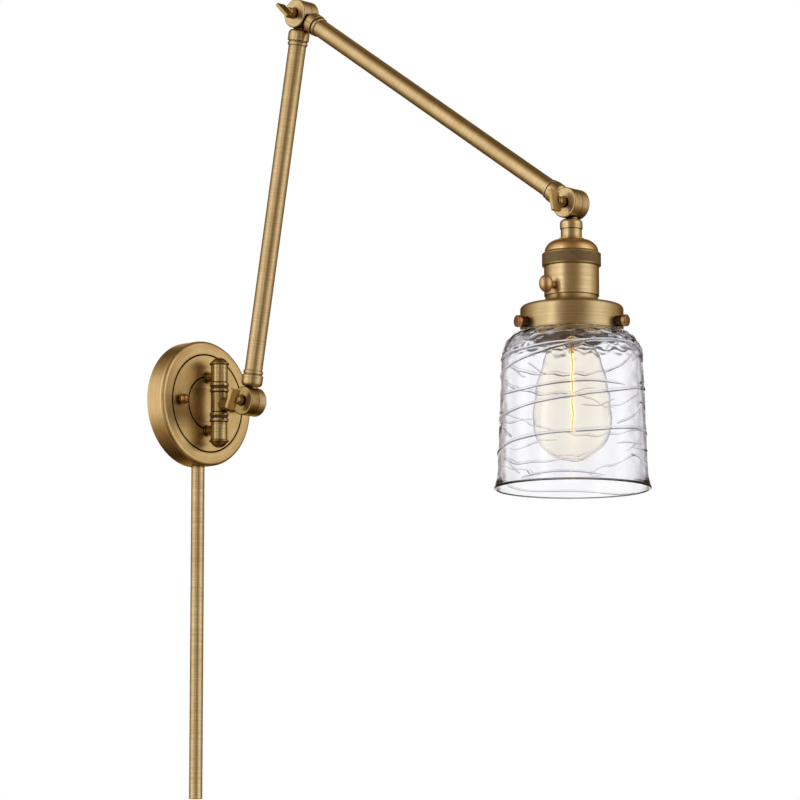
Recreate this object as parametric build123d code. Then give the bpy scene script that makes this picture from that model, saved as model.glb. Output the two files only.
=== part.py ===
from build123d import *

import os
from math import cos, radians, sin, sqrt

# Swing arm wall lamp. Millimetres, +Z up. The origin is on the wall behind the plate's centre,
# the wall is the plane y = 0, and the lamp stands out from it towards -Y.

# Clearances
FIT = 0.05
RUNNING_GAP = 0.1
HOLE_CLEARANCE = 0.2
SWEEP_CLEARANCE = 0.4

# Length by which a cut runs past the face that it opens
OVERSHOOT = 1.0

# Wall plate
PLATE_DIA = 109.4
PLATE_DEPTH = 19.0
PLATE_WALL = 1.5
PLATE_EDGE_R = 3.5
OUTER_GROOVE_DIA = 85.2
INNER_GROOVE_DIA = 46.0
GROOVE_WIDTH = 1.4
GROOVE_DEPTH = 0.7

# Mounting bar and the plate's fixings
BAR_WIDTH = 18.0
BAR_THICK = 2.0
BAR_END_GAP = 1.0
BAR_CORNER_R = 2.0
WALL_SCREW_SPACING = 88.9
SLOT_LENGTH = 9.0
SLOT_WIDTH = 4.8
STUD_SPACING = 66.0
STUD_DIA = 4.2
BALL_NUT_DIA = 9.0
BALL_NUT_NECK_DIA = 6.4
BALL_NUT_NECK = 1.2
STUD_GRIP = 5.0

# Swivel post
POST_OUT = 33.3
POST_Z = -0.8
BARREL_DIA = 14.6
MOULDING_DIA = 16.4
MOULDING_HEIGHT = 3.2
MOULDING_GROOVE = 0.8
SWIVEL_HEIGHT = 24.3
POST_BARREL_HEIGHT = 18.8
POST_WASHER_DIA = 15.2
POST_WASHER_THICK = 1.8
ROD_DIA = 9.6
ROD_BORE = 5.0
FINIAL_FLANGE_DIA = 17.0
FINIAL_FLANGE = 2.2
FINIAL_EDGE_R = 0.9
FINIAL_DOME_DIA = 14.4
FINIAL_DOME = 4.6
FINIAL_GRIP = 3.5
STANDOFF_DIA = 8.0
STANDOFF_FOOT_DIA = 10.0
STANDOFF_FOOT = 1.5
STANDOFF_TAIL_DIA = 6.0
POST_NUT_FLATS = 10.0
POST_NUT_THICK = 4.0

# Cord cover
COVER_DIA = 11.5
COVER_WALL = 0.8
COVER_OUT = 7.8
COVER_END_Z = -343.0
COVER_MOUTH_WALL = 0.5
COVER_MOUTH_BELOW = 2.0
COVER_RING_WIDTH = 1.5
COVER_RING_HEIGHT = 3.0

# Knuckles
KNUCKLE_DIA = 25.0
LEAF_THICK = 9.0
LEAF_EDGE_R = 1.4
JOINT_GAP = 0.6
FRICTION_WASHER_DIA = 21.0
FRICTION_WASHER_THICK = 0.5
STEM_DIA = 11.0
FERRULE_START = 13.0
FERRULE_DIA = 18.4
FERRULE_END = 23.0
FERRULE_EDGE_R = 3.5
FERRULE_LIP_R = 0.5
NECK_DIA = 12.0
NECK_SHOULDER_DIA = 15.0
NECK_SHOULDER = 4.0
NECK_EDGE_R = 1.2
BASE_KNUCKLE_OUT = 36.6
BASE_KNUCKLE_DROP = 2.7

# Wing keys
KEY_SHANK_DIA = 5.0
KEY_THREAD_DEPTH = 7.0
KEY_BOSS_DIA = 8.0
KEY_BOSS_LENGTH = 8.2
KEY_BOSS_EDGE_R = 2.0
KEY_RECESS_DIA = 10.4
KEY_RECESS_DEPTH = 0.8
WING_LENGTH = 18.0
WING_WIDTH = 9.8
WING_THICK = 2.8
WING_EDGE_R = 1.0
BASE_KEY_TURN = -23.0
ELBOW_KEY_TURN = 45.0
HEAD_KEY_TURN = 10.0

# Arms
TUBE_DIA = 15.4
TUBE_WALL = 1.2
TUBE_SEAT = 7.5
BEAD_DIA = 17.2
BEAD_HEIGHT = 4.0
BEAD_GROOVE = 1.0
BEAD_GROOVE_DIA = 15.9
BEAD_EDGE_R = 1.2
WIRE_DIA = 5.0
LOWER_ARM = 337.3
UPPER_ARM = 366.4
LOWER_ARM_ELEVATION = 79.6
UPPER_ARM_ELEVATION = -34.3

# Socket
NIPPLE_DIA = 9.8
NIPPLE_BORE = 6.4
NIPPLE_GRIP = 6.0
HEAD_FERRULE_END = 21.2
COUPLING_DIA = 17.1
COUPLING_HEIGHT = 7.5
CAP_TOP_DIA = 20.4
CAP_INSET = 0.45
CAP_HEIGHT = 11.6
CAP_TOP_STEP = 1.2
CAP_WALL = 1.0
CAP_FLANGE = 0.9
LOCKNUT_FLATS = 14.0
LOCKNUT_THICK = 3.0
KNURL_RING_WALL = 1.6
KNURL_RING_HEIGHT = 11.8
KNURL_RING_CHAMFER = 1.5
KNURL_RING_FOOT_CHAMFER = 0.9
KNURL_RING_LIP = 1.2
SHELL_DIA = 44.5
SHELL_WALL = 0.8
SHELL_BOTTOM = 76.2
BODY_HEAD_SPACE = 4.0
BODY_LEDGE = 1.9
BODY_SPIGOT = 15.0
SCREW_SHELL_BORE = 26.6
SCREW_SHELL_WALL = 0.5
SCREW_SHELL_DEPTH = 27.0
CONTACT_DIA = 9.0
CONTACT_THICK = 1.2

# Switch knob
KNOB_BELOW_RING = 17.5
KNOB_STEM_DIA = 5.6
KNOB_REACH = 9.7
KNOB_DEPTH = 11.5
KNOB_WIDTH = 11.0
KNOB_HEIGHT = 14.3
KNOB_SHANK_DIA = 3.2
KNOB_SHANK_DEPTH = 5.0

# Shade fitter
COLLAR_HEIGHT = 7.8
COLLAR_INSET = 1.05
COLLAR_FLARE = 4.6
COLLAR_WALL = 1.0
FITTER_DIA = 83.4
FITTER_HEIGHT = 21.1
FITTER_WALL = 1.2
FITTER_EDGE_R = 3.5
CLAMP_RING_WIDTH = 5.45
CLAMP_RING_HEIGHT = 5.0
SHADE_SCREW_ANGLES = (40.0, 160.0, 280.0)
SHADE_SCREW_RISE = 5.0
SHADE_SCREW_DIA = 3.6
SHADE_SCREW_GRIP_DIA = 8.8
SHADE_SCREW_GRIP = 6.2
SHADE_SCREW_CAP_DIA = 9.7
SHADE_SCREW_CAP = 3.5
SHADE_SCREW_EDGE_R = 1.2

# Glass shade
GLASS = 2.8
GLASS_LIP_HEIGHT = 4.0
GLASS_LIP_GAP = 0.3
GLASS_LIP_WIDTH = 1.0
SHADE_DROP = 127.9
SHADE_SHOULDER_DIA = 114.0
SHADE_SHOULDER_DROP = 22.5
SHADE_WALL_DIA = 120.6
SHADE_FLARE_RISE = 18.0
SHADE_RIM_DIA = 127.0

# Bulb
BULB_DIA = 63.6
BULB_BELLY_RISE = 30.0
BULB_LENGTH = 146.0
BULB_BOWL_DIA = 50.9
BULB_BOWL_RISE = 11.4
BULB_TIP_DIA = 18.0
BULB_TIP_SLOPE = 0.35
BULB_WAIST_DIA = 40.6
BULB_WAIST_RISE = 88.8
BULB_NECK_DIA = 24.4
BULB_GLASS = 0.9
BULB_NECK_SEAT = 7.0
BASE_DIA = 26.2
BASE_LENGTH = 27.0
BASE_TAPER = 4.0
BASE_TIP_DIA = 9.0
BASE_TIP = 1.6
BASE_WALL = 0.7
STEM_FLARE = 10.0
STEM_ROD_DIA = 3.2
STEM_LENGTH = 30.0
STEM_BUTTON_DIA = 5.2
SUPPORT_DIA = 0.9
FILAMENT_LENGTH = 65.0
FILAMENT_SPREAD = 3.0
FILAMENT_DIA = 0.6

# Places worked out from the sizes above
PLATE_R = PLATE_DIA / 2
PLATE_BORE_R = PLATE_R - PLATE_WALL
ROD_R = ROD_DIA / 2
KNUCKLE_R = KNUCKLE_DIA / 2
LEAF_OUTER = JOINT_GAP / 2 + LEAF_THICK
SWEEP_R = KNUCKLE_R + SWEEP_CLEARANCE
TUBE_R = TUBE_DIA / 2
POST_TOP = SWIVEL_HEIGHT / 2 + POST_WASHER_THICK + POST_BARREL_HEIGHT
STANDOFF_RISE = POST_TOP - POST_BARREL_HEIGHT / 2
POST = Vector(0, -POST_OUT, POST_Z)
BASE_PIVOT = POST + Vector(0, -BASE_KNUCKLE_OUT, -BASE_KNUCKLE_DROP)


def along(elevation):
    """Unit vector in the arms' plane, at an elevation above straight out from the wall."""
    return Vector(0, -cos(radians(elevation)), sin(radians(elevation)))


ELBOW_PIVOT = BASE_PIVOT + along(LOWER_ARM_ELEVATION) * LOWER_ARM
HEAD_PIVOT = ELBOW_PIVOT + along(UPPER_ARM_ELEVATION) * UPPER_ARM

# Drops along the lamp head, measured down from its pivot
CAP_TOP = HEAD_FERRULE_END + COUPLING_HEIGHT
KNURL_TOP = CAP_TOP + CAP_HEIGHT
CAP_FLANGE_TOP = KNURL_TOP + KNURL_RING_LIP
SHELL_TOP = CAP_FLANGE_TOP + CAP_FLANGE
KNOB_DROP = KNURL_TOP + KNURL_RING_HEIGHT + KNOB_BELOW_RING
BODY_TOP = SHELL_TOP + BODY_HEAD_SPACE
BODY_SHOULDER = SHELL_BOTTOM - SHELL_WALL
BODY_BOTTOM = BODY_SHOULDER + BODY_SPIGOT
FITTER_TOP = SHELL_BOTTOM + COLLAR_HEIGHT
FITTER_CEILING = FITTER_TOP + FITTER_WALL
FITTER_BOTTOM = FITTER_TOP + FITTER_HEIGHT
SHADE_SCREW_DROP = FITTER_BOTTOM - SHADE_SCREW_RISE
SHADE_RIM = FITTER_BOTTOM + SHADE_DROP
SOCKET_FLOOR = BODY_BOTTOM - SCREW_SHELL_DEPTH
BULB_BOTTOM = SOCKET_FLOOR + BULB_LENGTH
BASE_BOTTOM = SOCKET_FLOOR + BASE_LENGTH
BULB_NECK_TOP = BASE_BOTTOM - BULB_NECK_SEAT
STEM_END = BASE_BOTTOM + STEM_LENGTH

SHELL_R = SHELL_DIA / 2
SHELL_BORE_R = SHELL_R - SHELL_WALL
CAP_BASE_R = SHELL_R - CAP_INSET
BODY_R = SHELL_BORE_R - FIT
BODY_SPIGOT_R = BODY_R - BODY_LEDGE
SPIGOT_HOLE_R = BODY_SPIGOT_R + HOLE_CLEARANCE
FITTER_INNER_EDGE_R = max(FITTER_EDGE_R - FITTER_WALL, 0)
GLASS_LIP_R = FITTER_DIA / 2 - FITTER_WALL - GLASS_LIP_GAP
GLASS_NECK_R = GLASS_LIP_R - GLASS_LIP_WIDTH


def turned(outline, frame=Plane.XY):
    """Solid turned about a frame's Z axis.

    Each outline point is (radius, height), with a third number where its corner is rounded.
    """
    points = [(point[0], 0, point[1]) for point in outline]
    corners = [point[2] if len(point) > 2 else 0 for point in outline]
    section = make_face(FilletPolyline(*points, radius=corners, close=True))
    return frame * revolve(section, Axis.Z)


def ring(bore_r, outer_r, low, high, frame=Plane.XY):
    """Plain ring or tube about a frame's Z axis."""
    return turned([(bore_r, low), (outer_r, low), (outer_r, high), (bore_r, high)], frame)


def rod(radius, low, high, frame=Plane.XY):
    """Plain round bar about a frame's Z axis."""
    return ring(0, radius, low, high, frame)


def hex_nut(flats, bore_r, low, high, frame):
    """Hexagonal nut about a frame's Z axis."""
    blank = extrude(RegularPolygon(flats / 2, 6, major_radius=False), high - low)
    return frame * (Pos(0, 0, low) * blank) - rod(bore_r, low, high, frame)


def outward(x, z):
    """Frame on the wall that looks straight out of it."""
    return Plane(origin=(x, 0, z), x_dir=(1, 0, 0), z_dir=(0, -1, 0))


def upright(origin):
    """Frame that stands upright at a point."""
    return Plane(origin=origin, x_dir=(1, 0, 0), z_dir=(0, 0, 1))


def arm_frame(pivot, direction):
    """Frame at a knuckle: X along the pivot's axis, Z along the member that leaves it."""
    return Plane(origin=pivot, x_dir=(1, 0, 0), z_dir=direction)


def pivot_frame(pivot, side):
    """Frame at a knuckle with Z along the pivot's axis, towards the side of a leaf."""
    return Plane(origin=pivot, x_dir=(0, 1, 0), z_dir=(side, 0, 0))


FRONT = -1
REAR = 1
POST_FRAME = upright(POST)
COVER_FRAME = upright((0, -COVER_OUT, 0))
LOWER_START = arm_frame(BASE_PIVOT, along(LOWER_ARM_ELEVATION))
LOWER_END = arm_frame(ELBOW_PIVOT, along(LOWER_ARM_ELEVATION) * -1)
UPPER_START = arm_frame(ELBOW_PIVOT, along(UPPER_ARM_ELEVATION))
UPPER_END = arm_frame(HEAD_PIVOT, along(UPPER_ARM_ELEVATION) * -1)
HEAD_FRAME = arm_frame(HEAD_PIVOT, (0, 0, -1))


# Wall plate and its fixings
def plate_solid(inset):
    """Solid inside the plate's surface, drawn in by a wall's thickness."""
    radius = PLATE_R - inset
    depth = PLATE_DEPTH - inset
    edge_r = max(PLATE_EDGE_R - inset, 0)
    return turned([(0, 0), (radius, 0), (radius, depth, edge_r), (0, depth)], outward(0, 0))


def wall_plate():
    """Spun cup, open at the wall, with two scribed rings and its five holes."""
    wall_frame = outward(0, 0)
    plate = plate_solid(0) - plate_solid(PLATE_WALL)
    for groove_dia in (OUTER_GROOVE_DIA, INNER_GROOVE_DIA):
        inside = groove_dia / 2 - GROOVE_WIDTH / 2
        floor = PLATE_DEPTH - GROOVE_DEPTH
        plate -= ring(inside, inside + GROOVE_WIDTH, floor, PLATE_DEPTH + OVERSHOOT, wall_frame)
    for frame in stud_frames():
        plate -= rod(STUD_DIA / 2 + HOLE_CLEARANCE, 0, PLATE_DEPTH + OVERSHOOT, frame)
    for frame in standoff_frames():
        plate -= rod(STANDOFF_TAIL_DIA / 2 + HOLE_CLEARANCE, 0, PLATE_DEPTH + OVERSHOOT, frame)
    return plate - rod(COVER_DIA / 2 + FIT, -PLATE_DIA, -PLATE_R / 2, COVER_FRAME)


def stud_frames():
    """Frames on the wall at the two studs that carry the plate."""
    return [outward(side * STUD_SPACING / 2, 0) for side in (-1, 1)]


def standoff_frames():
    """Frames on the wall behind the post's two standoffs."""
    return [outward(0, POST_Z + side * STANDOFF_RISE) for side in (-1, 1)]


def mounting_bar():
    """Flat bar screwed to the wall, with a slot near each end and a tapped hole for each stud."""
    half_length = sqrt((PLATE_BORE_R - BAR_END_GAP) ** 2 - (BAR_WIDTH / 2) ** 2)
    blank = RectangleRounded(2 * half_length, BAR_WIDTH, min(BAR_CORNER_R, BAR_WIDTH / 2 - FIT))
    for side in (-1, 1):
        slot = SlotOverall(SLOT_LENGTH, SLOT_WIDTH)
        blank -= Pos(side * WALL_SCREW_SPACING / 2, 0) * slot
        blank -= Pos(side * STUD_SPACING / 2, 0) * Circle(STUD_DIA / 2 + FIT)
    return outward(0, 0) * extrude(blank, BAR_THICK)


def plate_studs():
    """Threaded studs from the bar out through the plate's face."""
    return [rod(STUD_DIA / 2, 0, PLATE_DEPTH + STUD_GRIP, frame) for frame in stud_frames()]


def ball_nuts():
    """Ball nuts that hold the plate against the wall."""
    ball_r = BALL_NUT_DIA / 2
    neck_r = BALL_NUT_NECK_DIA / 2
    centre = PLATE_DEPTH + BALL_NUT_NECK + sqrt(ball_r**2 - neck_r**2)
    nuts = []
    for frame in stud_frames():
        neck = rod(neck_r, PLATE_DEPTH, centre, frame)
        nut = neck + frame * (Pos(0, 0, centre) * Sphere(ball_r))
        nuts.append(nut - rod(STUD_DIA / 2 + FIT, 0, PLATE_DEPTH + STUD_GRIP, frame))
    return nuts


# Swivel post
def barrel(low, high, moulded_low, moulded_high):
    """Round barrel on the post's axis, with a moulding at either end."""
    bore_r = ROD_R + FIT
    body_r = BARREL_DIA / 2
    moulding_r = MOULDING_DIA / 2
    groove_r = body_r - MOULDING_GROOVE
    soft = (MOULDING_DIA - BARREL_DIA) / 2
    outline = [(bore_r, low)]
    if moulded_low:
        step = low + MOULDING_HEIGHT
        outline += [(moulding_r, low, soft), (moulding_r, step, soft), (groove_r, step)]
        outline += [(groove_r, step + MOULDING_GROOVE), (body_r, step + MOULDING_GROOVE)]
    else:
        outline += [(body_r, low)]
    if moulded_high:
        step = high - MOULDING_HEIGHT
        outline += [(body_r, step - MOULDING_GROOVE), (groove_r, step - MOULDING_GROOVE)]
        outline += [(groove_r, step), (moulding_r, step, soft), (moulding_r, high, soft)]
    else:
        outline += [(body_r, high)]
    return turned(outline + [(bore_r, high)], POST_FRAME)


def post_barrel(side):
    """Fixed barrel above or below the swivel, cast with the standoff that holds it to the plate."""
    inner = side * (POST_TOP - POST_BARREL_HEIGHT)
    outer = side * POST_TOP
    body = barrel(min(inner, outer), max(inner, outer), side > 0, side < 0)
    frame = outward(0, POST_Z + side * STANDOFF_RISE)
    foot_top = PLATE_DEPTH + STANDOFF_FOOT
    standoff = turned(
        [
            (0, PLATE_DEPTH - PLATE_WALL - POST_NUT_THICK),
            (STANDOFF_TAIL_DIA / 2, PLATE_DEPTH - PLATE_WALL - POST_NUT_THICK),
            (STANDOFF_TAIL_DIA / 2, PLATE_DEPTH),
            (STANDOFF_FOOT_DIA / 2, PLATE_DEPTH),
            (STANDOFF_FOOT_DIA / 2, foot_top),
            (STANDOFF_DIA / 2, foot_top),
            (STANDOFF_DIA / 2, POST_OUT),
            (0, POST_OUT),
        ],
        frame,
    )
    return body + standoff - rod(ROD_R + FIT, -2 * POST_TOP, 2 * POST_TOP, POST_FRAME)


def post_nuts():
    """Nuts on the standoffs' tails, behind the plate's face."""
    high = PLATE_DEPTH - PLATE_WALL
    bore_r = STANDOFF_TAIL_DIA / 2 + FIT
    return [
        hex_nut(POST_NUT_FLATS, bore_r, high - POST_NUT_THICK, high, frame)
        for frame in standoff_frames()
    ]


def pivot_rod():
    """Hollow rod through the post, its ends threaded for the finials."""
    reach = POST_TOP + FINIAL_GRIP
    return ring(ROD_BORE / 2, ROD_R, -reach, reach, POST_FRAME)


def post_finials():
    """Flanged dome screwed on each end of the rod."""
    flange_r = FINIAL_FLANGE_DIA / 2
    edge_r = min(FINIAL_EDGE_R, FINIAL_FLANGE / 2 - FIT)
    dome_r = FINIAL_DOME_DIA / 2
    flange = turned(
        [
            (0, POST_TOP),
            (flange_r, POST_TOP, edge_r),
            (flange_r, POST_TOP + FINIAL_FLANGE, edge_r),
            (0, POST_TOP + FINIAL_FLANGE),
        ]
    )
    arc_r = (dome_r**2 + FINIAL_DOME**2) / (2 * FINIAL_DOME)
    foot = POST_TOP + FINIAL_FLANGE
    ball = Pos(0, 0, foot + FINIAL_DOME - arc_r) * Sphere(arc_r)
    dome = ball & rod(dome_r, foot, foot + FINIAL_DOME + OVERSHOOT)
    finial = flange + dome - rod(ROD_R + FIT, POST_TOP, POST_TOP + FINIAL_GRIP)
    return [POST_FRAME * finial, POST_FRAME * (Rot(180, 0, 0) * finial)]


def post_washers():
    """Dark washers between the fixed barrels and the swivel."""
    low = SWIVEL_HEIGHT / 2
    washer = ring(ROD_R + FIT, POST_WASHER_DIA / 2, low, low + POST_WASHER_THICK)
    return [POST_FRAME * washer, POST_FRAME * (Rot(180, 0, 0) * washer)]


# Cord cover
def cover_top():
    """Height of the tube's upper end, flush with its retaining ring."""
    return COVER_RING_HEIGHT - PLATE_BORE_R


def cord_cover():
    """Straight tube for the cord, let into the plate's underside and reamed wider at that end."""
    outer_r = COVER_DIA / 2
    mouth = -PLATE_R - COVER_MOUTH_BELOW
    return turned(
        [
            (outer_r - COVER_WALL, COVER_END_Z),
            (outer_r, COVER_END_Z),
            (outer_r, cover_top()),
            (outer_r - COVER_MOUTH_WALL, cover_top()),
            (outer_r - COVER_MOUTH_WALL, mouth),
            (outer_r - COVER_WALL, mouth),
        ],
        COVER_FRAME,
    )


def cover_ring():
    """Retaining ring on the tube's upper end, saddled to the plate's inner wall."""
    bore_r = COVER_DIA / 2 + FIT
    blank = ring(bore_r, COVER_DIA / 2 + COVER_RING_WIDTH, -PLATE_R, cover_top(), COVER_FRAME)
    return blank & plate_solid(PLATE_WALL)


# Knuckles
def leaf(side, frame, stem_end):
    """Half disc of a knuckle with the stem that carries its member.

    The front leaf is recessed for the key's boss, and the rear one is tapped for its shank.
    The member's axis lies in the parting plane, so the stem is cut away where the other leaf turns.
    """
    shank_r = KEY_SHANK_DIA / 2
    if side == FRONT:
        bore = [
            (KEY_RECESS_DIA / 2, LEAF_THICK),
            (KEY_RECESS_DIA / 2, LEAF_THICK - KEY_RECESS_DEPTH),
            (shank_r + RUNNING_GAP, LEAF_THICK - KEY_RECESS_DEPTH),
            (shank_r + RUNNING_GAP, 0),
        ]
    else:
        bore = [
            (0, LEAF_THICK),
            (0, KEY_THREAD_DEPTH + HOLE_CLEARANCE),
            (shank_r + FIT, KEY_THREAD_DEPTH + HOLE_CLEARANCE),
            (shank_r + FIT, 0),
        ]
    rim = [(KNUCKLE_R, 0), (KNUCKLE_R, LEAF_THICK, LEAF_EDGE_R)]
    across = pivot_frame(frame.origin, side)
    disc = Pos(side * JOINT_GAP / 2, 0, 0) * turned(rim + bore, across)
    stem = rod(STEM_DIA / 2, KNUCKLE_R / 2, stem_end, frame)
    return disc + (stem - swept(side, frame))


def swept(side, frame):
    """Space that the other leaf turns in, with its clearance."""
    across = pivot_frame(frame.origin, -side)
    return rod(SWEEP_R, -JOINT_GAP / 2, FERRULE_DIA, across)


def ferrule(side, frame, end, seat_r, seat):
    """Knuckle leaf with a round-shouldered ferrule, bored at its end for a tube or a nipple."""
    outer_r = FERRULE_DIA / 2
    wire_r = WIRE_DIA / 2 + HOLE_CLEARANCE
    cup = turned(
        [
            (wire_r, FERRULE_START),
            (outer_r, FERRULE_START, FERRULE_EDGE_R),
            (outer_r, end, FERRULE_LIP_R),
            (seat_r + FIT, end),
            (seat_r + FIT, seat),
            (wire_r, seat),
        ],
        frame,
    )
    wire_hole = rod(wire_r, SWEEP_R, end, frame)
    return leaf(side, frame, FERRULE_START + FERRULE_EDGE_R / 2) + (cup - swept(side, frame)) - wire_hole


def friction_washer(pivot):
    """Thin washer on the front leaf's inner face."""
    frame = pivot_frame(pivot, REAR)
    low = -JOINT_GAP / 2
    bore_r = KEY_SHANK_DIA / 2 + RUNNING_GAP
    return ring(bore_r, FRICTION_WASHER_DIA / 2, low, low + FRICTION_WASHER_THICK, frame)


def wing_key(pivot, turn):
    """Key through a knuckle: threaded shank, round boss and a flat wing.

    The wing's turn is from upright, with its lower end swung out from the wall.
    """
    frame = pivot_frame(pivot, FRONT)
    seat = LEAF_OUTER - KEY_RECESS_DEPTH + RUNNING_GAP
    boss_end = LEAF_OUTER + KEY_BOSS_LENGTH
    shank = turned(
        [
            (0, -JOINT_GAP / 2 - KEY_THREAD_DEPTH),
            (KEY_SHANK_DIA / 2, -JOINT_GAP / 2 - KEY_THREAD_DEPTH),
            (KEY_SHANK_DIA / 2, seat),
            (KEY_BOSS_DIA / 2, seat),
            (KEY_BOSS_DIA / 2, boss_end, KEY_BOSS_EDGE_R),
            (0, boss_end),
        ],
        frame,
    )
    side = Plane.YZ * RectangleRounded(WING_LENGTH, WING_WIDTH, WING_EDGE_R)
    middle = boss_end - KEY_BOSS_EDGE_R + WING_WIDTH / 2
    wing = Pos(0, 0, middle) * (Rot(0, 0, turn) * extrude(side, WING_THICK / 2, both=True))
    return shank + frame * wing


def swivel_knuckle():
    """Turning barrel of the post, cast with its neck and the base knuckle's front leaf."""
    frame = arm_frame(BASE_PIVOT, (0, 1, 0))
    body = barrel(-SWIVEL_HEIGHT / 2, SWIVEL_HEIGHT / 2, True, True)
    neck_r = NECK_DIA / 2
    shoulder_r = NECK_SHOULDER_DIA / 2
    shoulder = FERRULE_START + NECK_SHOULDER
    neck = turned(
        [
            (0, FERRULE_START),
            (shoulder_r, FERRULE_START, NECK_EDGE_R),
            (shoulder_r, shoulder, min(NECK_EDGE_R, shoulder_r - neck_r - FIT)),
            (neck_r, shoulder),
            (neck_r, BASE_KNUCKLE_OUT),
            (0, BASE_KNUCKLE_OUT),
        ],
        frame,
    )
    casting = body + leaf(FRONT, frame, shoulder) + (neck - swept(FRONT, frame))
    return casting - rod(ROD_R + FIT, -SWIVEL_HEIGHT, SWIVEL_HEIGHT, POST_FRAME)


# Arms
def tube_seat():
    """Distance from a pivot to the end of the tube in its ferrule."""
    return FERRULE_END - TUBE_SEAT


def arm_knuckle(side, frame):
    """Ferrule at either end of an arm."""
    return ferrule(side, frame, FERRULE_END, TUBE_R, tube_seat())


def arm_tube(frame, length):
    """Tube of an arm, seated in the ferrules at both ends."""
    return ring(TUBE_R - TUBE_WALL, TUBE_R, tube_seat(), length - tube_seat(), frame)


def bead(frame):
    """Bead ring that butts on a ferrule, with a groove between them."""
    bore_r = TUBE_R + FIT
    step = FERRULE_END + BEAD_GROOVE
    top = FERRULE_END + BEAD_HEIGHT
    return turned(
        [
            (bore_r, FERRULE_END),
            (BEAD_GROOVE_DIA / 2, FERRULE_END),
            (BEAD_GROOVE_DIA / 2, step),
            (BEAD_DIA / 2, step, min(BEAD_EDGE_R, (BEAD_DIA - BEAD_GROOVE_DIA) / 2 - FIT)),
            (BEAD_DIA / 2, top, min(BEAD_EDGE_R, BEAD_DIA / 2 - bore_r - FIT)),
            (bore_r, top),
        ],
        frame,
    )


def arm_wire(frame, length):
    """Wire through an arm, held in the hole at the bottom of each ferrule."""
    end = SWEEP_R + HOLE_CLEARANCE
    return rod(WIRE_DIA / 2, end, length - end, frame)


# Lamp head
def head_knuckle():
    """Head's knuckle leaf with the short neck that the socket screws to."""
    return ferrule(REAR, HEAD_FRAME, HEAD_FERRULE_END, NIPPLE_DIA / 2, HEAD_FERRULE_END - NIPPLE_GRIP)


def head_nipple():
    """Threaded tube that joins the neck, the coupling and the socket cap."""
    end = CAP_TOP + CAP_TOP_STEP + CAP_WALL + LOCKNUT_THICK
    return ring(NIPPLE_BORE / 2, NIPPLE_DIA / 2, HEAD_FERRULE_END - NIPPLE_GRIP, end, HEAD_FRAME)


def head_coupling():
    """Plain collar between the neck and the socket cap."""
    outer_r = COUPLING_DIA / 2
    return turned(
        [
            (NIPPLE_DIA / 2 + FIT, HEAD_FERRULE_END),
            (outer_r, HEAD_FERRULE_END, FERRULE_LIP_R),
            (outer_r, CAP_TOP),
            (NIPPLE_DIA / 2 + FIT, CAP_TOP),
        ],
        HEAD_FRAME,
    )


def cap_dome(inset):
    """Solid inside the socket cap's surface, drawn in by a wall's thickness."""
    top_r = CAP_TOP_DIA / 2
    base_r = CAP_BASE_R - inset
    shoulder = CAP_TOP + CAP_TOP_STEP + inset
    edge = EllipticalCenterArc((0, 0), base_r - top_r, KNURL_TOP - shoulder)
    curve = Pos(top_r, 0, KNURL_TOP) * (Rot(-90, 0, 0) * edge)
    corner = Polyline((base_r, 0, KNURL_TOP), (0, 0, KNURL_TOP), (0, 0, shoulder), (top_r, 0, shoulder))
    return HEAD_FRAME * revolve(make_face([curve, corner]), Axis.Z)


def socket_cap():
    """Spun dome with a raised seat for the coupling and a flange that the knurled ring holds."""
    bore_r = NIPPLE_DIA / 2 + FIT
    seat = ring(bore_r, CAP_TOP_DIA / 2, CAP_TOP, CAP_TOP + CAP_TOP_STEP + CAP_WALL, HEAD_FRAME)
    flange = turned(
        [
            (CAP_BASE_R - CAP_WALL, KNURL_TOP),
            (CAP_BASE_R, KNURL_TOP),
            (CAP_BASE_R, CAP_FLANGE_TOP),
            (SHELL_R, CAP_FLANGE_TOP),
            (SHELL_R, SHELL_TOP),
            (CAP_BASE_R - CAP_WALL, SHELL_TOP),
        ],
        HEAD_FRAME,
    )
    hole = rod(bore_r, CAP_TOP, KNURL_TOP, HEAD_FRAME)
    return (cap_dome(0) - cap_dome(CAP_WALL)) + seat + flange - hole


def cap_locknut():
    """Nut on the nipple, inside the cap."""
    low = CAP_TOP + CAP_TOP_STEP + CAP_WALL
    return hex_nut(LOCKNUT_FLATS, NIPPLE_DIA / 2 + FIT, low, low + LOCKNUT_THICK, HEAD_FRAME)


def knurled_ring():
    """Ring that screws on the shell and holds the cap down by its inner lip."""
    bore_r = SHELL_R + FIT
    outer_r = bore_r + KNURL_RING_WALL
    bottom = KNURL_TOP + KNURL_RING_HEIGHT
    return turned(
        [
            (CAP_BASE_R + FIT, KNURL_TOP),
            (outer_r - KNURL_RING_CHAMFER, KNURL_TOP),
            (outer_r, KNURL_TOP + KNURL_RING_CHAMFER),
            (outer_r, bottom - KNURL_RING_FOOT_CHAMFER),
            (outer_r - KNURL_RING_FOOT_CHAMFER, bottom),
            (bore_r, bottom),
            (bore_r, CAP_FLANGE_TOP),
            (CAP_BASE_R + FIT, CAP_FLANGE_TOP),
        ],
        HEAD_FRAME,
    )


def knob_frame():
    """Frame on the head's axis at the switch's height, looking out to the keys' side."""
    origin = HEAD_PIVOT - Vector(0, 0, KNOB_DROP)
    return Plane(origin=origin, x_dir=(0, 0, 1), z_dir=(-1, 0, 0))


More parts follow.
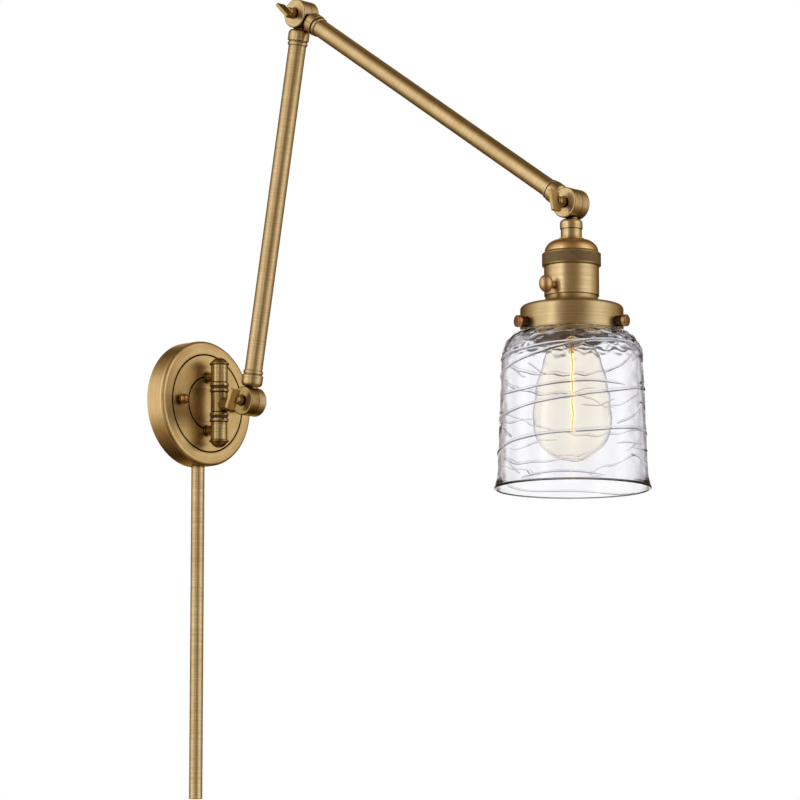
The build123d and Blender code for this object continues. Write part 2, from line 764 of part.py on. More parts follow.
def socket_shell():
    """Thin brass shell with an inner lip at its lower end and a hole for the switch."""
    shell = turned(
        [
            (SHELL_BORE_R, SHELL_TOP),
            (SHELL_R, SHELL_TOP),
            (SHELL_R, SHELL_BOTTOM, SHELL_WALL / 2),
            (SPIGOT_HOLE_R, SHELL_BOTTOM),
            (SPIGOT_HOLE_R, BODY_SHOULDER),
            (SHELL_BORE_R, BODY_SHOULDER),
        ],
        HEAD_FRAME,
    )
    return shell - rod(KNOB_STEM_DIA / 2 + HOLE_CLEARANCE, 0, SHELL_DIA, knob_frame())


def socket_body():
    """Moulded insulator with the lamp's screw cavity and the switch's bore."""
    cavity_r = SCREW_SHELL_BORE / 2 + SCREW_SHELL_WALL + FIT
    contact_r = CONTACT_DIA / 2 + FIT
    contact_top = SOCKET_FLOOR - CONTACT_THICK
    body = turned(
        [
            (0, BODY_TOP),
            (BODY_R, BODY_TOP),
            (BODY_R, BODY_SHOULDER),
            (BODY_SPIGOT_R, BODY_SHOULDER),
            (BODY_SPIGOT_R, BODY_BOTTOM),
            (cavity_r, BODY_BOTTOM),
            (cavity_r, SOCKET_FLOOR),
            (contact_r, SOCKET_FLOOR),
            (contact_r, contact_top),
            (0, contact_top),
        ],
        HEAD_FRAME,
    )
    floor = BODY_R - KNOB_SHANK_DEPTH - HOLE_CLEARANCE
    return body - rod(KNOB_SHANK_DIA / 2 + FIT, floor, SHELL_DIA, knob_frame())


def screw_shell():
    """Brass screw shell that the bulb's base turns in."""
    bore_r = SCREW_SHELL_BORE / 2
    return ring(bore_r, bore_r + SCREW_SHELL_WALL, SOCKET_FLOOR, BODY_BOTTOM, HEAD_FRAME)


def centre_contact():
    """Contact under the bulb's tip."""
    return rod(CONTACT_DIA / 2, SOCKET_FLOOR - CONTACT_THICK, SOCKET_FLOOR, HEAD_FRAME)


def switch_knob():
    """Oval knob on its stem, with a thin shank in the socket body."""
    frame = knob_frame()
    ball = scale(Sphere(1), (KNOB_HEIGHT / 2, KNOB_WIDTH / 2, KNOB_DEPTH / 2))
    reach = SHELL_R + KNOB_REACH
    stem_start = BODY_R + RUNNING_GAP
    stem = rod(KNOB_STEM_DIA / 2, stem_start, reach, frame)
    shank = rod(KNOB_SHANK_DIA / 2, BODY_R - KNOB_SHANK_DEPTH, stem_start, frame)
    return stem + shank + frame * (Pos(0, 0, reach) * ball)


# Shade fitter
def fitter_collar():
    """Spun collar that flares from the shell's lower end to the fitter's top."""
    top_r = SHELL_R - COLLAR_INSET
    base_r = top_r + COLLAR_FLARE
    bore_r = SPIGOT_HOLE_R
    brim = FITTER_TOP - COLLAR_WALL
    curve = TangentArc((top_r, 0, SHELL_BOTTOM), (base_r, 0, brim), tangent=(0, 0, 1))
    rest = Polyline(
        (base_r, 0, brim),
        (base_r, 0, FITTER_TOP),
        (bore_r, 0, FITTER_TOP),
        (bore_r, 0, SHELL_BOTTOM),
        (top_r, 0, SHELL_BOTTOM),
    )
    return HEAD_FRAME * revolve(make_face([curve, rest]), Axis.Z)


def shade_screw_frames():
    """Frames on the head's axis at the shade screws' height, looking out along each screw."""
    origin = HEAD_PIVOT - Vector(0, 0, SHADE_SCREW_DROP)
    return [
        Plane(origin=origin, x_dir=(0, 0, 1), z_dir=(cos(radians(turn)), sin(radians(turn)), 0))
        for turn in SHADE_SCREW_ANGLES
    ]


def fitter():
    """Spun cup that holds the glass, with a hole for each shade screw."""
    outer_r = FITTER_DIA / 2
    inner_r = outer_r - FITTER_WALL
    cup = turned(
        [
            (SPIGOT_HOLE_R, FITTER_TOP),
            (outer_r, FITTER_TOP, FITTER_EDGE_R),
            (outer_r, FITTER_BOTTOM),
            (inner_r, FITTER_BOTTOM),
            (inner_r, FITTER_CEILING, FITTER_INNER_EDGE_R),
            (SPIGOT_HOLE_R, FITTER_CEILING),
        ],
        HEAD_FRAME,
    )
    for frame in shade_screw_frames():
        cup -= rod(SHADE_SCREW_DIA / 2 + RUNNING_GAP, inner_r / 2, FITTER_DIA, frame)
    return cup


def clamp_ring():
    """Ring screwed on the socket body's spigot, which clamps the fitter and its collar."""
    bottom = FITTER_CEILING + CLAMP_RING_HEIGHT
    bore_r = BODY_SPIGOT_R + FIT
    return ring(bore_r, bore_r + CLAMP_RING_WIDTH, FITTER_CEILING, bottom, HEAD_FRAME)


def shade_screw(frame):
    """Thumb screw: shank to the glass's neck, round grip and a wider cap."""
    face = FITTER_DIA / 2 + RUNNING_GAP
    grip_end = face + SHADE_SCREW_GRIP
    cap_end = grip_end + SHADE_SCREW_CAP
    cap_r = SHADE_SCREW_CAP_DIA / 2
    return turned(
        [
            (0, GLASS_NECK_R + RUNNING_GAP),
            (SHADE_SCREW_DIA / 2, GLASS_NECK_R + RUNNING_GAP),
            (SHADE_SCREW_DIA / 2, face),
            (SHADE_SCREW_GRIP_DIA / 2, face),
            (SHADE_SCREW_GRIP_DIA / 2, grip_end),
            (cap_r, grip_end),
            (cap_r, cap_end, SHADE_SCREW_EDGE_R),
            (0, cap_end),
        ],
        frame,
    )


# Glass shade
def shade_solid(inset):
    """Solid inside the bell's surface, drawn in by a thickness: neck, shoulder, wall and flare."""
    neck_r = GLASS_NECK_R - inset
    shoulder_r = SHADE_SHOULDER_DIA / 2 - inset
    wall_r = SHADE_WALL_DIA / 2 - inset
    rim_r = SHADE_RIM_DIA / 2 - inset
    shoulder_top = FITTER_BOTTOM + inset
    shoulder_end = FITTER_BOTTOM + SHADE_SHOULDER_DROP
    flare_start = SHADE_RIM - SHADE_FLARE_RISE
    shoulder = EllipticalCenterArc((0, 0), shoulder_r - neck_r, shoulder_end - shoulder_top)
    wall = Line((shoulder_r, 0, shoulder_end), (wall_r, 0, flare_start))
    neck_top = FITTER_CEILING + GLASS_LIP_HEIGHT / 2
    outline = [
        Polyline((0, 0, SHADE_RIM), (0, 0, neck_top), (neck_r, 0, neck_top)),
        Line((neck_r, 0, neck_top), (neck_r, 0, shoulder_top)),
        Pos(neck_r, 0, shoulder_end) * (Rot(-90, 0, 0) * shoulder),
        wall,
        TangentArc(wall @ 1, (rim_r, 0, SHADE_RIM), tangent=wall % 1),
        Line((rim_r, 0, SHADE_RIM), (0, 0, SHADE_RIM)),
    ]
    return HEAD_FRAME * revolve(make_face(outline), Axis.Z)


def glass_shade():
    """Clear bell with a lip round its neck, above the screws."""
    lip_bottom = FITTER_CEILING + GLASS_LIP_HEIGHT
    lip = turned(
        [
            (GLASS_NECK_R - GLASS, FITTER_CEILING),
            (GLASS_LIP_R, FITTER_CEILING, FITTER_INNER_EDGE_R),
            (GLASS_LIP_R, lip_bottom),
            (GLASS_NECK_R - GLASS, lip_bottom),
        ],
        HEAD_FRAME,
    )
    return shade_solid(0) - shade_solid(GLASS) + lip


# Bulb
def bulb_solid(inset):
    """Solid inside the bulb's surface, drawn in by a thickness: neck, taper, belly and tip."""
    belly = BULB_BOTTOM - BULB_BELLY_RISE
    belly_r = BULB_DIA / 2 - inset
    neck_r = BULB_NECK_DIA / 2 - inset
    waist = Vector(BULB_WAIST_DIA / 2 - inset, 0, BULB_BOTTOM - BULB_WAIST_RISE)
    tip_r = BULB_TIP_DIA / 2 - inset
    bottom = BULB_BOTTOM - inset
    top = BULB_NECK_TOP + inset
    slant = inset / sqrt(2)
    bowl = Vector(BULB_BOWL_DIA / 2 - slant, 0, BULB_BOTTOM - BULB_BOWL_RISE - slant)
    outline = [
        Polyline((tip_r, 0, bottom), (0, 0, bottom), (0, 0, top), (neck_r, 0, top)),
        Line((neck_r, 0, top), (neck_r, 0, BASE_BOTTOM)),
        Spline(
            (neck_r, 0, BASE_BOTTOM), waist, (belly_r, 0, belly), tangents=((0, 0, 1), (0, 0, 1))
        ),
        Spline(
            (belly_r, 0, belly), bowl, (tip_r, 0, bottom), tangents=((0, 0, 1), (-1, 0, BULB_TIP_SLOPE))
        ),
    ]
    return HEAD_FRAME * revolve(make_face(outline), Axis.Z)


def bulb_glass():
    """Pear-shaped envelope, closed at its neck by the stem's press."""
    return bulb_solid(0) - bulb_solid(BULB_GLASS)


def bulb_base():
    """Screw base with its insulated tip, cupped for the bulb's neck."""
    outer_r = BASE_DIA / 2
    tip_r = BASE_TIP_DIA / 2
    shoulder = SOCKET_FLOOR + BASE_TIP + BASE_TAPER
    cup_r = BULB_NECK_DIA / 2 + FIT
    return turned(
        [
            (0, SOCKET_FLOOR),
            (tip_r, SOCKET_FLOOR),
            (tip_r, SOCKET_FLOOR + BASE_TIP),
            (outer_r, shoulder, BASE_WALL),
            (outer_r, BASE_BOTTOM),
            (cup_r, BASE_BOTTOM),
            (cup_r, BULB_NECK_TOP),
            (0, BULB_NECK_TOP),
        ],
        HEAD_FRAME,
    )


def bulb_stem():
    """Glass stem: a flare on the neck's closed end, a thin rod and a button, with a hook below."""
    rod_r = STEM_ROD_DIA / 2
    button_r = STEM_BUTTON_DIA / 2
    flare_r = BULB_NECK_DIA / 2 - 2 * BULB_GLASS
    start = BULB_NECK_TOP + BULB_GLASS
    post = turned(
        [
            (0, start),
            (flare_r, start),
            (rod_r, start + STEM_FLARE),
            (rod_r, STEM_END - button_r),
            (button_r, STEM_END - button_r, min(button_r / 2, button_r - rod_r - FIT)),
            (button_r, STEM_END + button_r, button_r / 2),
            (0, STEM_END + button_r),
        ],
        HEAD_FRAME,
    )
    hook = STEM_END + FILAMENT_LENGTH
    spine = rod(SUPPORT_DIA / 2, STEM_END, hook, HEAD_FRAME)
    middle = HEAD_PIVOT - Vector(0, 0, hook)
    half = FILAMENT_SPREAD / 2 + FILAMENT_DIA
    bar = rod(SUPPORT_DIA / 2, -half, half, Plane(origin=middle, x_dir=(0, 0, 1), z_dir=(0, 1, 0)))
    return post + spine + bar


def bulb_filament():
    """Hairpin of fine wire from the button down round the hook and back."""
    half = FILAMENT_SPREAD / 2
    wire_r = FILAMENT_DIA / 2
    top = STEM_END + STEM_BUTTON_DIA / 2
    turn = STEM_END + FILAMENT_LENGTH + SUPPORT_DIA / 2 + wire_r
    path = FilletPolyline(
        (half, 0, top), (half, 0, turn), (-half, 0, turn), (-half, 0, top), radius=half - FIT
    )
    wire = sweep(Plane(origin=path @ 0, z_dir=path % 0) * Circle(wire_r), path)
    return HEAD_FRAME * wire


def main():
    """Build every piece and write one file for each."""
    pieces = {
        "wall_plate": wall_plate(),
        "mounting_bar": mounting_bar(),
        "plate_studs": Compound(children=plate_studs()),
        "ball_nuts": Compound(children=ball_nuts()),
        "post_upper": post_barrel(1),
        "post_lower": post_barrel(-1),
        "post_nuts": Compound(children=post_nuts()),
        "pivot_rod": pivot_rod(),
        "post_finials": Compound(children=post_finials()),
        "post_washers": Compound(children=post_washers()),
        "cord_cover": cord_cover(),
        "cover_ring": cover_ring(),
        "swivel_knuckle": swivel_knuckle(),
        "base_washer": friction_washer(BASE_PIVOT),
        "base_key": wing_key(BASE_PIVOT, BASE_KEY_TURN),
        "lower_arm_base_knuckle": arm_knuckle(REAR, LOWER_START),
        "lower_arm_tube": arm_tube(LOWER_START, LOWER_ARM),
        "lower_arm_beads": Compound(children=[bead(LOWER_START), bead(LOWER_END)]),
        "lower_arm_wire": arm_wire(LOWER_START, LOWER_ARM),
        "lower_arm_elbow_knuckle": arm_knuckle(FRONT, LOWER_END),
        "elbow_washer": friction_washer(ELBOW_PIVOT),
        "elbow_key": wing_key(ELBOW_PIVOT, ELBOW_KEY_TURN),
        "upper_arm_elbow_knuckle": arm_knuckle(REAR, UPPER_START),
        "upper_arm_tube": arm_tube(UPPER_START, UPPER_ARM),
        "upper_arm_beads": Compound(children=[bead(UPPER_START), bead(UPPER_END)]),
        "upper_arm_wire": arm_wire(UPPER_START, UPPER_ARM),
        "upper_arm_head_knuckle": arm_knuckle(FRONT, UPPER_END),
        "head_washer": friction_washer(HEAD_PIVOT),
        "head_key": wing_key(HEAD_PIVOT, HEAD_KEY_TURN),
        "head_knuckle": head_knuckle(),
        "head_nipple": head_nipple(),
        "head_coupling": head_coupling(),
        "socket_cap": socket_cap(),
        "cap_locknut": cap_locknut(),
        "knurled_ring": knurled_ring(),
        "socket_shell": socket_shell(),
        "socket_body": socket_body(),
        "screw_shell": screw_shell(),
        "centre_contact": centre_contact(),
        "switch_knob": switch_knob(),
        "fitter_collar": fitter_collar(),
        "fitter": fitter(),
        "clamp_ring": clamp_ring(),
        "glass_shade": glass_shade(),
        "bulb_base": bulb_base(),
        "bulb_glass": bulb_glass(),
        "bulb_stem": bulb_stem(),
        "bulb_filament": bulb_filament(),
    }
    for number, frame in enumerate(shade_screw_frames(), start=1):
        pieces[f"shade_screw_{number}"] = shade_screw(frame)
    os.makedirs("parts", exist_ok=True)
    for node, piece in pieces.items():
        export_step(piece, f"parts/{node}.step")


main()
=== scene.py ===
"""Studio scene of a swing arm wall lamp: its finishes, its fine pieces, the light and the camera."""

import logging
import math
from dataclasses import dataclass
from enum import Enum
from typing import Any, Callable, ClassVar, Sequence

import bmesh
import bpy
import numpy as np
from mathutils import Matrix, Vector


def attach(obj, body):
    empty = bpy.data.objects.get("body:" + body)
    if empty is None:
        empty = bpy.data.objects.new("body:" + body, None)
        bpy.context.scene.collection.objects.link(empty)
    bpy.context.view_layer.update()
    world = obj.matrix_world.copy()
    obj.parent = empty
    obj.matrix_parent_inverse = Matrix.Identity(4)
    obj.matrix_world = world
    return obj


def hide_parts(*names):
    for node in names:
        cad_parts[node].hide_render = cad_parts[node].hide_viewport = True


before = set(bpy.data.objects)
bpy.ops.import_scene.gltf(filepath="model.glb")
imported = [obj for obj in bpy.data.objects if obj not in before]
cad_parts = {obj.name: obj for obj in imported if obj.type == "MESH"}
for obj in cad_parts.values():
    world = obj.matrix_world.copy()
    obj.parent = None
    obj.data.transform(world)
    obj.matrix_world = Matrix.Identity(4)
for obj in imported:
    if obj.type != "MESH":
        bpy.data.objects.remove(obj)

Colour = tuple[float, float, float, float]
Inputs = dict[Any, Any] | tuple[Any, ...]
Material = bpy.types.Material
Point = tuple[float, float, float]
Socket = bpy.types.NodeSocket
Span = tuple[float, float]
Stops = Sequence[tuple[float, str]]
Tree = bpy.types.NodeTree

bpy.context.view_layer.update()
MM = 0.001
IMAGE_PX = 800
FULL_TURN = 2 * math.pi
HALF_TURN = math.pi
QUARTER_TURN = math.pi / 2
WHITE = (1.0, 1.0, 1.0, 1.0)
LOG = logging.getLogger("swing_arm_lamp")

# Distance at which points of a piece are merged, and the shortest edge that is kept, in metres
MERGED, SHORTEST = 1e-6, 1e-7

# Angles between faces over which an edge of turned brass, of glass and of wire stays sharp, in degrees
TURNED_SHARP, GLASS_SHARP, WIRE_SHARP = 25.0, 60.0, 80.0

# Sockets of a mix of colours: its factor, its two colours and its result
FACTOR, FIRST, SECOND, MIXED = 0, 6, 7, 2

# Places in the lamp's frame, in metres, as the solids have them
POST_OUT = -0.0333
COVER_OUT = -0.0078
BASE_PIVOT = (0.0, -0.0699, -0.0035)
ELBOW_PIVOT = (0.0, -0.1307891, 0.3282587)
HEAD_PIVOT = (0.0, -0.4334715, 0.1217827)
LOWER_ARM_ELEVATION = 79.6
UPPER_ARM_ELEVATION = -34.3


def linear(code: str) -> Colour:
    """Turns an sRGB hex colour into linear light.

    Args:
        code: colour such as "#c8a66b".

    Returns:
        Linear red, green, blue and an alpha of 1.
    """
    parts = [int(code[at : at + 2], 16) / 255 for at in (1, 3, 5)]
    light = [v / 12.92 if v <= 0.04045 else ((v + 0.055) / 1.055) ** 2.4 for v in parts]
    return (*light, 1.0)


def connect(tree: Tree, node: bpy.types.Node, inputs: Inputs) -> None:
    """Sets or links the inputs of a node.

    Args:
        tree: node tree that holds the node.
        node: the node.
        inputs: values or output sockets, in the inputs' order, or by their names or numbers.
    """
    for key, value in inputs.items() if isinstance(inputs, dict) else enumerate(inputs):
        if isinstance(value, Socket):
            tree.links.new(value, node.inputs[key])
        else:
            node.inputs[key].default_value = value


def add_node(
    tree: Tree, kind: str, inputs: Inputs = (), out: int | str = 0, stops: Stops = (), **settings: Any
) -> Socket:
    """Adds one shader node with its settings, its values and its links.

    Args:
        tree: node tree that takes the node.
        kind: Blender's name for the node's type, without the ShaderNode at its start.
        inputs: values or output sockets, in the inputs' order, or by their names or numbers.
        out: name or number of the wanted output.
        stops: places and colours of a ramp, as sRGB hex.
        settings: properties of the node itself.

    Returns:
        The wanted output of the new node.
    """
    node = tree.nodes.new(f"ShaderNode{kind}")
    for key, value in settings.items():
        setattr(node, key, value)
    connect(tree, node, inputs)
    if stops:
        ramp = node.color_ramp
        while len(ramp.elements) < len(stops):
            ramp.elements.new(1.0)
        for element, (place, code) in zip(ramp.elements, stops):
            element.position = place
            element.color = linear(code)
    return node.outputs[out]


class Grain(Enum):
    """How a metal's surface was worked."""

    TURNED = "fine rings about the axis that it was turned on"
    CAST = "even sand-blasted grain with no direction"


@dataclass(frozen=True)
class Axis:
    """Line that a piece was turned about.

    Attributes:
        centre: a point on it, in metres.
        tilt: turns about X, Y and Z, in degrees, that bring Z onto it.
    """

    centre: Point
    tilt: Point = (0.0, 0.0, 0.0)

    @property
    def turns(self) -> tuple[float, ...]:
        """The tilt in radians."""
        return tuple(math.radians(angle) for angle in self.tilt)


PLATE_AXIS = Axis((0.0, 0.0, 0.0), (90.0, 0.0, 0.0))
POST_AXIS = Axis((0.0, POST_OUT, 0.0))
COVER_AXIS = Axis((0.0, COVER_OUT, 0.0))
LOWER_AXIS = Axis(BASE_PIVOT, (90.0 - LOWER_ARM_ELEVATION, 0.0, 0.0))
UPPER_AXIS = Axis(ELBOW_PIVOT, (90.0 - UPPER_ARM_ELEVATION, 0.0, 0.0))
HEAD_AXIS = Axis(HEAD_PIVOT)


@dataclass(frozen=True)
class Finish:
    """What a surface is made of and how it was worked."""

    name: str

    def surface(self, tree: Tree, place: Socket) -> dict[str, Any]:
        """Adds the nodes of the finish, which each kind of finish does in its own way.

        Args:
            tree: node tree of the material.
            place: Object coordinates, in metres.

        Returns:
            Value or output socket for inputs of the standard shader, by their names.
        """
        raise NotImplementedError(self.name)

    def make(self) -> Material:
        """Finds the material, or builds it the first time.

        Returns:
            A material with the standard shader.
        """
        material = bpy.data.materials.get(self.name)
        if material is None:
            material = bpy.data.materials.new(self.name)
            material.use_nodes = True
            tree = material.node_tree
            place = add_node(tree, "TexCoord", out="Object")
            connect(tree, tree.nodes["Principled BSDF"], self.surface(tree, place))
        return material


Finishes = dict[tuple[str, ...], Finish]

# Parts of the rings' and the patches' noise that brass uses, and the toning at the two ends of each
LINE_SPAN, LINE_TONE = (0.25, 0.75), (-0.2, 0.45)
CLOUD_SPAN, CLOUD_TONE = (0.3, 0.7), (0.0, 0.35)

# Openness of a shut-in face and of an open one, and how much painted shade and toning these two get
SHADE_SKY, SHADE_FILL = (0.42, 0.86), (0.95, 0.0)

# How far the roughness of brass goes to each side of its middle, and the height of its grain
ROUGH_SWING, GRAIN_MM = 0.07, 0.2


@dataclass(frozen=True)
class Brass(Finish):
    """Solid brass under a thin lacquer, toned brown, brushed or cast.

    The eye gets soft bands of light, fine rings in them, and a dark brown colour on faces shut in by grooves,
    corners and nearby parts: partly toning in the hollows, partly painted shade.

    Attributes:
        light: colour of the brushed-back brass, as sRGB hex.
        toned: colour of the brass where its toning is thicker.
        groove: dark colour of faces shut in by grooves, corners and nearby parts: toning and painted shade.
        edge: tint of the brass where it is seen at a glancing angle.
        line_mm: spacing of the rings; the real ones are about 0.2 mm, drawn as wide as the render shows.
        cloud_mm: size of the slow patches in the toning.
        shade_reach_mm: reach of the occlusion test; faces with surfaces nearer than this take the dark
            colour,
        partly as toning in hollows and partly as painted shade.
        scribed_mm: radii of the lines scribed in the face, along which the face takes the dark colour.
        scribe_mm: half the width of such a line.
    """

    light: str = "#dcc496"
    toned: str = "#ad8d57"
    groove: str = "#1f1207"
    edge: str = "#bfae8c"
    roughness: float = 0.33
    grain: Grain = Grain.TURNED
    axis: Axis = HEAD_AXIS
    line_mm: float = 1.1
    depth: float = 0.10
    cloud_mm: float = 16.0
    shade_reach_mm: float = 3.0
    scribed_mm: tuple[float, ...] = ()
    scribe_mm: float = 0.75

    def surface(self, tree: Tree, place: Socket) -> dict[str, Any]:
        """Makes colour, roughness and bump follow the brushing and the toning.

        Args:
            tree: node tree of the material.
            place: Object coordinates, in metres.

        Returns:
            What the shader gets.
        """
        turned = {"Vector": place, "Location": self.axis.centre, "Rotation": self.axis.turns}
        local = add_node(tree, "Mapping", turned, vector_type="TEXTURE")
        across = add_node(tree, "VectorMath", (local, (1.0, 1.0, 0.0)), operation="MULTIPLY")
        radius = add_node(tree, "VectorMath", (across,), "Value", operation="LENGTH")
        along = add_node(tree, "SeparateXYZ", (local,), "Z")
        rings = add_node(tree, "CombineXYZ", (radius, along))
        pattern = rings if self.grain is Grain.TURNED else local
        brushing = {"Vector": pattern, "Scale": 1 / (self.line_mm * MM), "Detail": 3.0, "Roughness": 0.6}
        lines = add_node(tree, "TexNoise", brushing)
        patches = {"Vector": place, "Scale": 1 / (self.cloud_mm * MM), "Detail": 3.0, "Roughness": 0.55}
        cloud = add_node(tree, "TexNoise", patches)
        line_tone = add_node(tree, "MapRange", (lines, *LINE_SPAN, *LINE_TONE))
        cloud_tone = add_node(tree, "MapRange", (cloud, *CLOUD_SPAN, *CLOUD_TONE))
        tone = add_node(tree, "Math", (line_tone, cloud_tone), operation="ADD", use_clamp=True)
        face = {FACTOR: tone, FIRST: linear(self.light), SECOND: linear(self.toned)}
        colour = add_node(tree, "Mix", face, MIXED, data_type="RGBA")
        # Painted shade and toning: faces shut in by grooves, corners and nearby parts, and the scribed lines,
        # go dark
        open_sky = add_node(tree, "AmbientOcclusion", {"Distance": self.shade_reach_mm * MM}, "AO", samples=6)
        shade_and_toning = add_node(tree, "MapRange", (open_sky, *SHADE_SKY, *SHADE_FILL))
        for ring in self.scribed_mm:
            line = add_node(tree, "Math", (radius, ring * MM, self.scribe_mm * MM), operation="COMPARE")
            shade_and_toning = add_node(tree, "Math", (shade_and_toning, line), operation="MAXIMUM")
        filled = {FACTOR: shade_and_toning, FIRST: colour, SECOND: linear(self.groove)}
        rough_span = (self.roughness - ROUGH_SWING, self.roughness + ROUGH_SWING)
        bump = {"Height": lines, "Strength": self.depth, "Distance": GRAIN_MM * MM}
        return {
            "Base Color": add_node(tree, "Mix", filled, MIXED, data_type="RGBA"),
            "Roughness": add_node(tree, "MapRange", (lines, *LINE_SPAN, *rough_span)),
            "Normal": add_node(tree, "Bump", bump),
            "Metallic": 1.0,
            "Specular Tint": linear(self.edge),
        }


@dataclass(frozen=True)
class Mottled(Finish):
    """Material with one faint pattern, such as hot wire or matt paint.

    The eye gets colours that change a little from place to place.

    Attributes:
        low: colour at the pattern's low end, as sRGB hex.
        high: colour at its high end.
        size_mm: length of the pattern along X, Y and Z.
        rough_swing: how far the roughness goes to each side of its middle.
        depth: strength of the pattern's bump.
        bump_mm: height of the bump.
        fine: detail of the pattern, and the strength of that detail.
        clear: how much of the light passes through.
        glow: strength of the light that it gives.
    """

    low: str
    high: str
    size_mm: Point
    roughness: float
    depth: float = 0.0
    rough_swing: float = 0.0
    bump_mm: float = 1.0
    fine: Span = (2.0, 0.5)
    metallic: float = 0.0
    clear: float = 0.0
    ior: float = 1.5
    glow: float = 0.0

    def surface(self, tree: Tree, place: Socket) -> dict[str, Any]:
        """Makes colour, roughness, bump and glow follow one noise.

        Args:
            tree: node tree of the material.
            place: Object coordinates, in metres.

        Returns:
            What the shader gets.
        """
        lengths = tuple(length * MM for length in self.size_mm)
        stretched = add_node(tree, "Mapping", {"Vector": place, "Scale": lengths}, vector_type="TEXTURE")
        noise = {"Vector": stretched, "Scale": 1.0, "Detail": self.fine[0], "Roughness": self.fine[1]}
        pattern = add_node(tree, "TexNoise", noise)
        tint = {FACTOR: pattern, FIRST: linear(self.low), SECOND: linear(self.high)}
        colour = add_node(tree, "Mix", tint, MIXED, data_type="RGBA")
        inputs = {"Base Color": colour, "Roughness": self.roughness, "Metallic": self.metallic}
        inputs |= {"Transmission Weight": self.clear, "IOR": self.ior}
        if self.rough_swing:
            rough_span = (self.roughness - self.rough_swing, self.roughness + self.rough_swing)
            inputs["Roughness"] = add_node(tree, "MapRange", (pattern, 0.0, 1.0, *rough_span))
        if self.depth:
            bump = {"Height": pattern, "Strength": self.depth, "Distance": self.bump_mm * MM}
            inputs["Normal"] = add_node(tree, "Bump", bump)
        if self.glow:
            inputs |= {"Emission Color": colour, "Emission Strength": self.glow}
        return inputs


@dataclass(frozen=True)
class Dull(Mottled):
    """Plated, pressed or moulded workshop material: the eye gets a small mottle in its colour and gloss."""

    rough_swing: float = 0.08
    bump_mm: float = 0.1
    fine: Span = (4.0, 0.6)


@dataclass(frozen=True)
class Glass(Mottled):
    """Blown or pressed glass, or split mica: the eye gets a faint tint and ripples that bend the view."""

    clear: float = 1.0


ZINC = Dull("steel_zinc_plated", "#8f918f", "#b9bab6", (1.2, 1.2, 1.2), 0.38, 0.05, metallic=1.0)
FIBRE = Dull("fibre_pressed_black", "#2e1b0d", "#46301c", (0.6, 0.6, 0.6), 0.6, 0.2)
PVC = Dull("pvc_extruded_black", "#141210", "#211d1a", (2.0, 2.0, 2.0), 0.42, 0.05)
PHENOLIC = Dull("phenolic_moulded_black", "#0f0c0a", "#1d1815", (1.5, 1.5, 1.5), 0.32, 0.05)
PAINT = Mottled("floor_painted_matt", "#ececec", "#f2f2f2", (1000 / 3, 1000 / 3, 1000 / 3), 0.9)
HOT_WIRE = Mottled(
    "filament_carbonised_glowing", "#f2d27c", "#fff2b0", (9.0, 9.0, 9.0), 0.4, metallic=1.0, glow=1.35
)


def full_turn(count: int) -> np.ndarray:
    """Angles at even steps round a circle, in radians."""
    return np.linspace(0, FULL_TURN, count, endpoint=False)


def saw(place: np.ndarray) -> np.ndarray:
    """Saw wave that falls from 1 to 0 and climbs back in each whole step."""
    return np.abs(2 * np.mod(place, 1.0) - 1)


def unit(rows: np.ndarray) -> np.ndarray:
    """Vectors of length 1 in the directions of the rows."""
    return rows / np.linalg.norm(rows, axis=-1, keepdims=True)


def distances(line: np.ndarray) -> np.ndarray:
    """Distance of each point of a line from its start, along the line."""
    return np.concatenate([[0.0], np.cumsum(np.linalg.norm(np.diff(line, axis=0), axis=1))])


def resample(line: np.ndarray, count: int) -> np.ndarray:
    """Points at even steps along a line.

    Args:
        line: points of the line, one in each row.
        count: number of points wanted.

    Returns:
        Points at equal lengths along it, with both its ends.
    """
    length = distances(line)
    wanted = np.linspace(0.0, length[-1], count)
    return np.stack([np.interp(wanted, length, line[:, k]) for k in range(line.shape[1])], axis=1)


def arc(centre: Span, radius: float, start: float, end: float, count: int) -> np.ndarray:
    """Points at even steps on a part of a circle.

    Args:
        centre: middle of the circle.
        radius: its radius.
        start: angle of the first point, in radians.
        end: angle of the last point.
        count: number of points.

    Returns:
        The points, one in each row.
    """
    angle = np.linspace(start, end, count)
    return np.array(centre) + radius * np.stack([np.cos(angle), np.sin(angle)], axis=1)


def turn_profile(radius: np.ndarray, along: np.ndarray, turn: np.ndarray) -> np.ndarray:
    """Carries a profile round an axis.

    A point is (radius cos turn, radius sin turn, along).

    Args:
        radius: distance from the axis for each row, and for each column where they differ.
        along: place along the axis for the same.
        turn: angle of each column.

    Returns:
        Points of the surface, by row, column and axis.
    """
    cosine, sine = np.cos(turn)[None, :], np.sin(turn)[None, :]
    return np.stack([radius * cosine, radius * sine, along + 0 * cosine], axis=-1)


def below_head(points: np.ndarray) -> np.ndarray:
    """Hangs points from the head's pivot: Z is a drop in millimetres, and the result is in metres."""
    return points * np.array([MM, MM, -MM]) + np.array(HEAD_PIVOT)


def ring_quads(rows: int, columns: int, closed: bool) -> np.ndarray:
    """Quads of a stack of rings, each ring closed on itself.

    Args:
        rows: number of rings.
        columns: points in each ring.
        closed: whether the last ring joins the first one.

    Returns:
        Array of four point numbers for each quad.
    """
    row = np.arange(rows if closed else rows - 1)[:, None] * columns
    column = np.arange(columns)[None, :]
    below = (row + columns) % (rows * columns)
    right = (column + 1) % columns
    return np.stack([row + column, row + right, below + right, below + column], axis=-1).reshape(-1, 4)


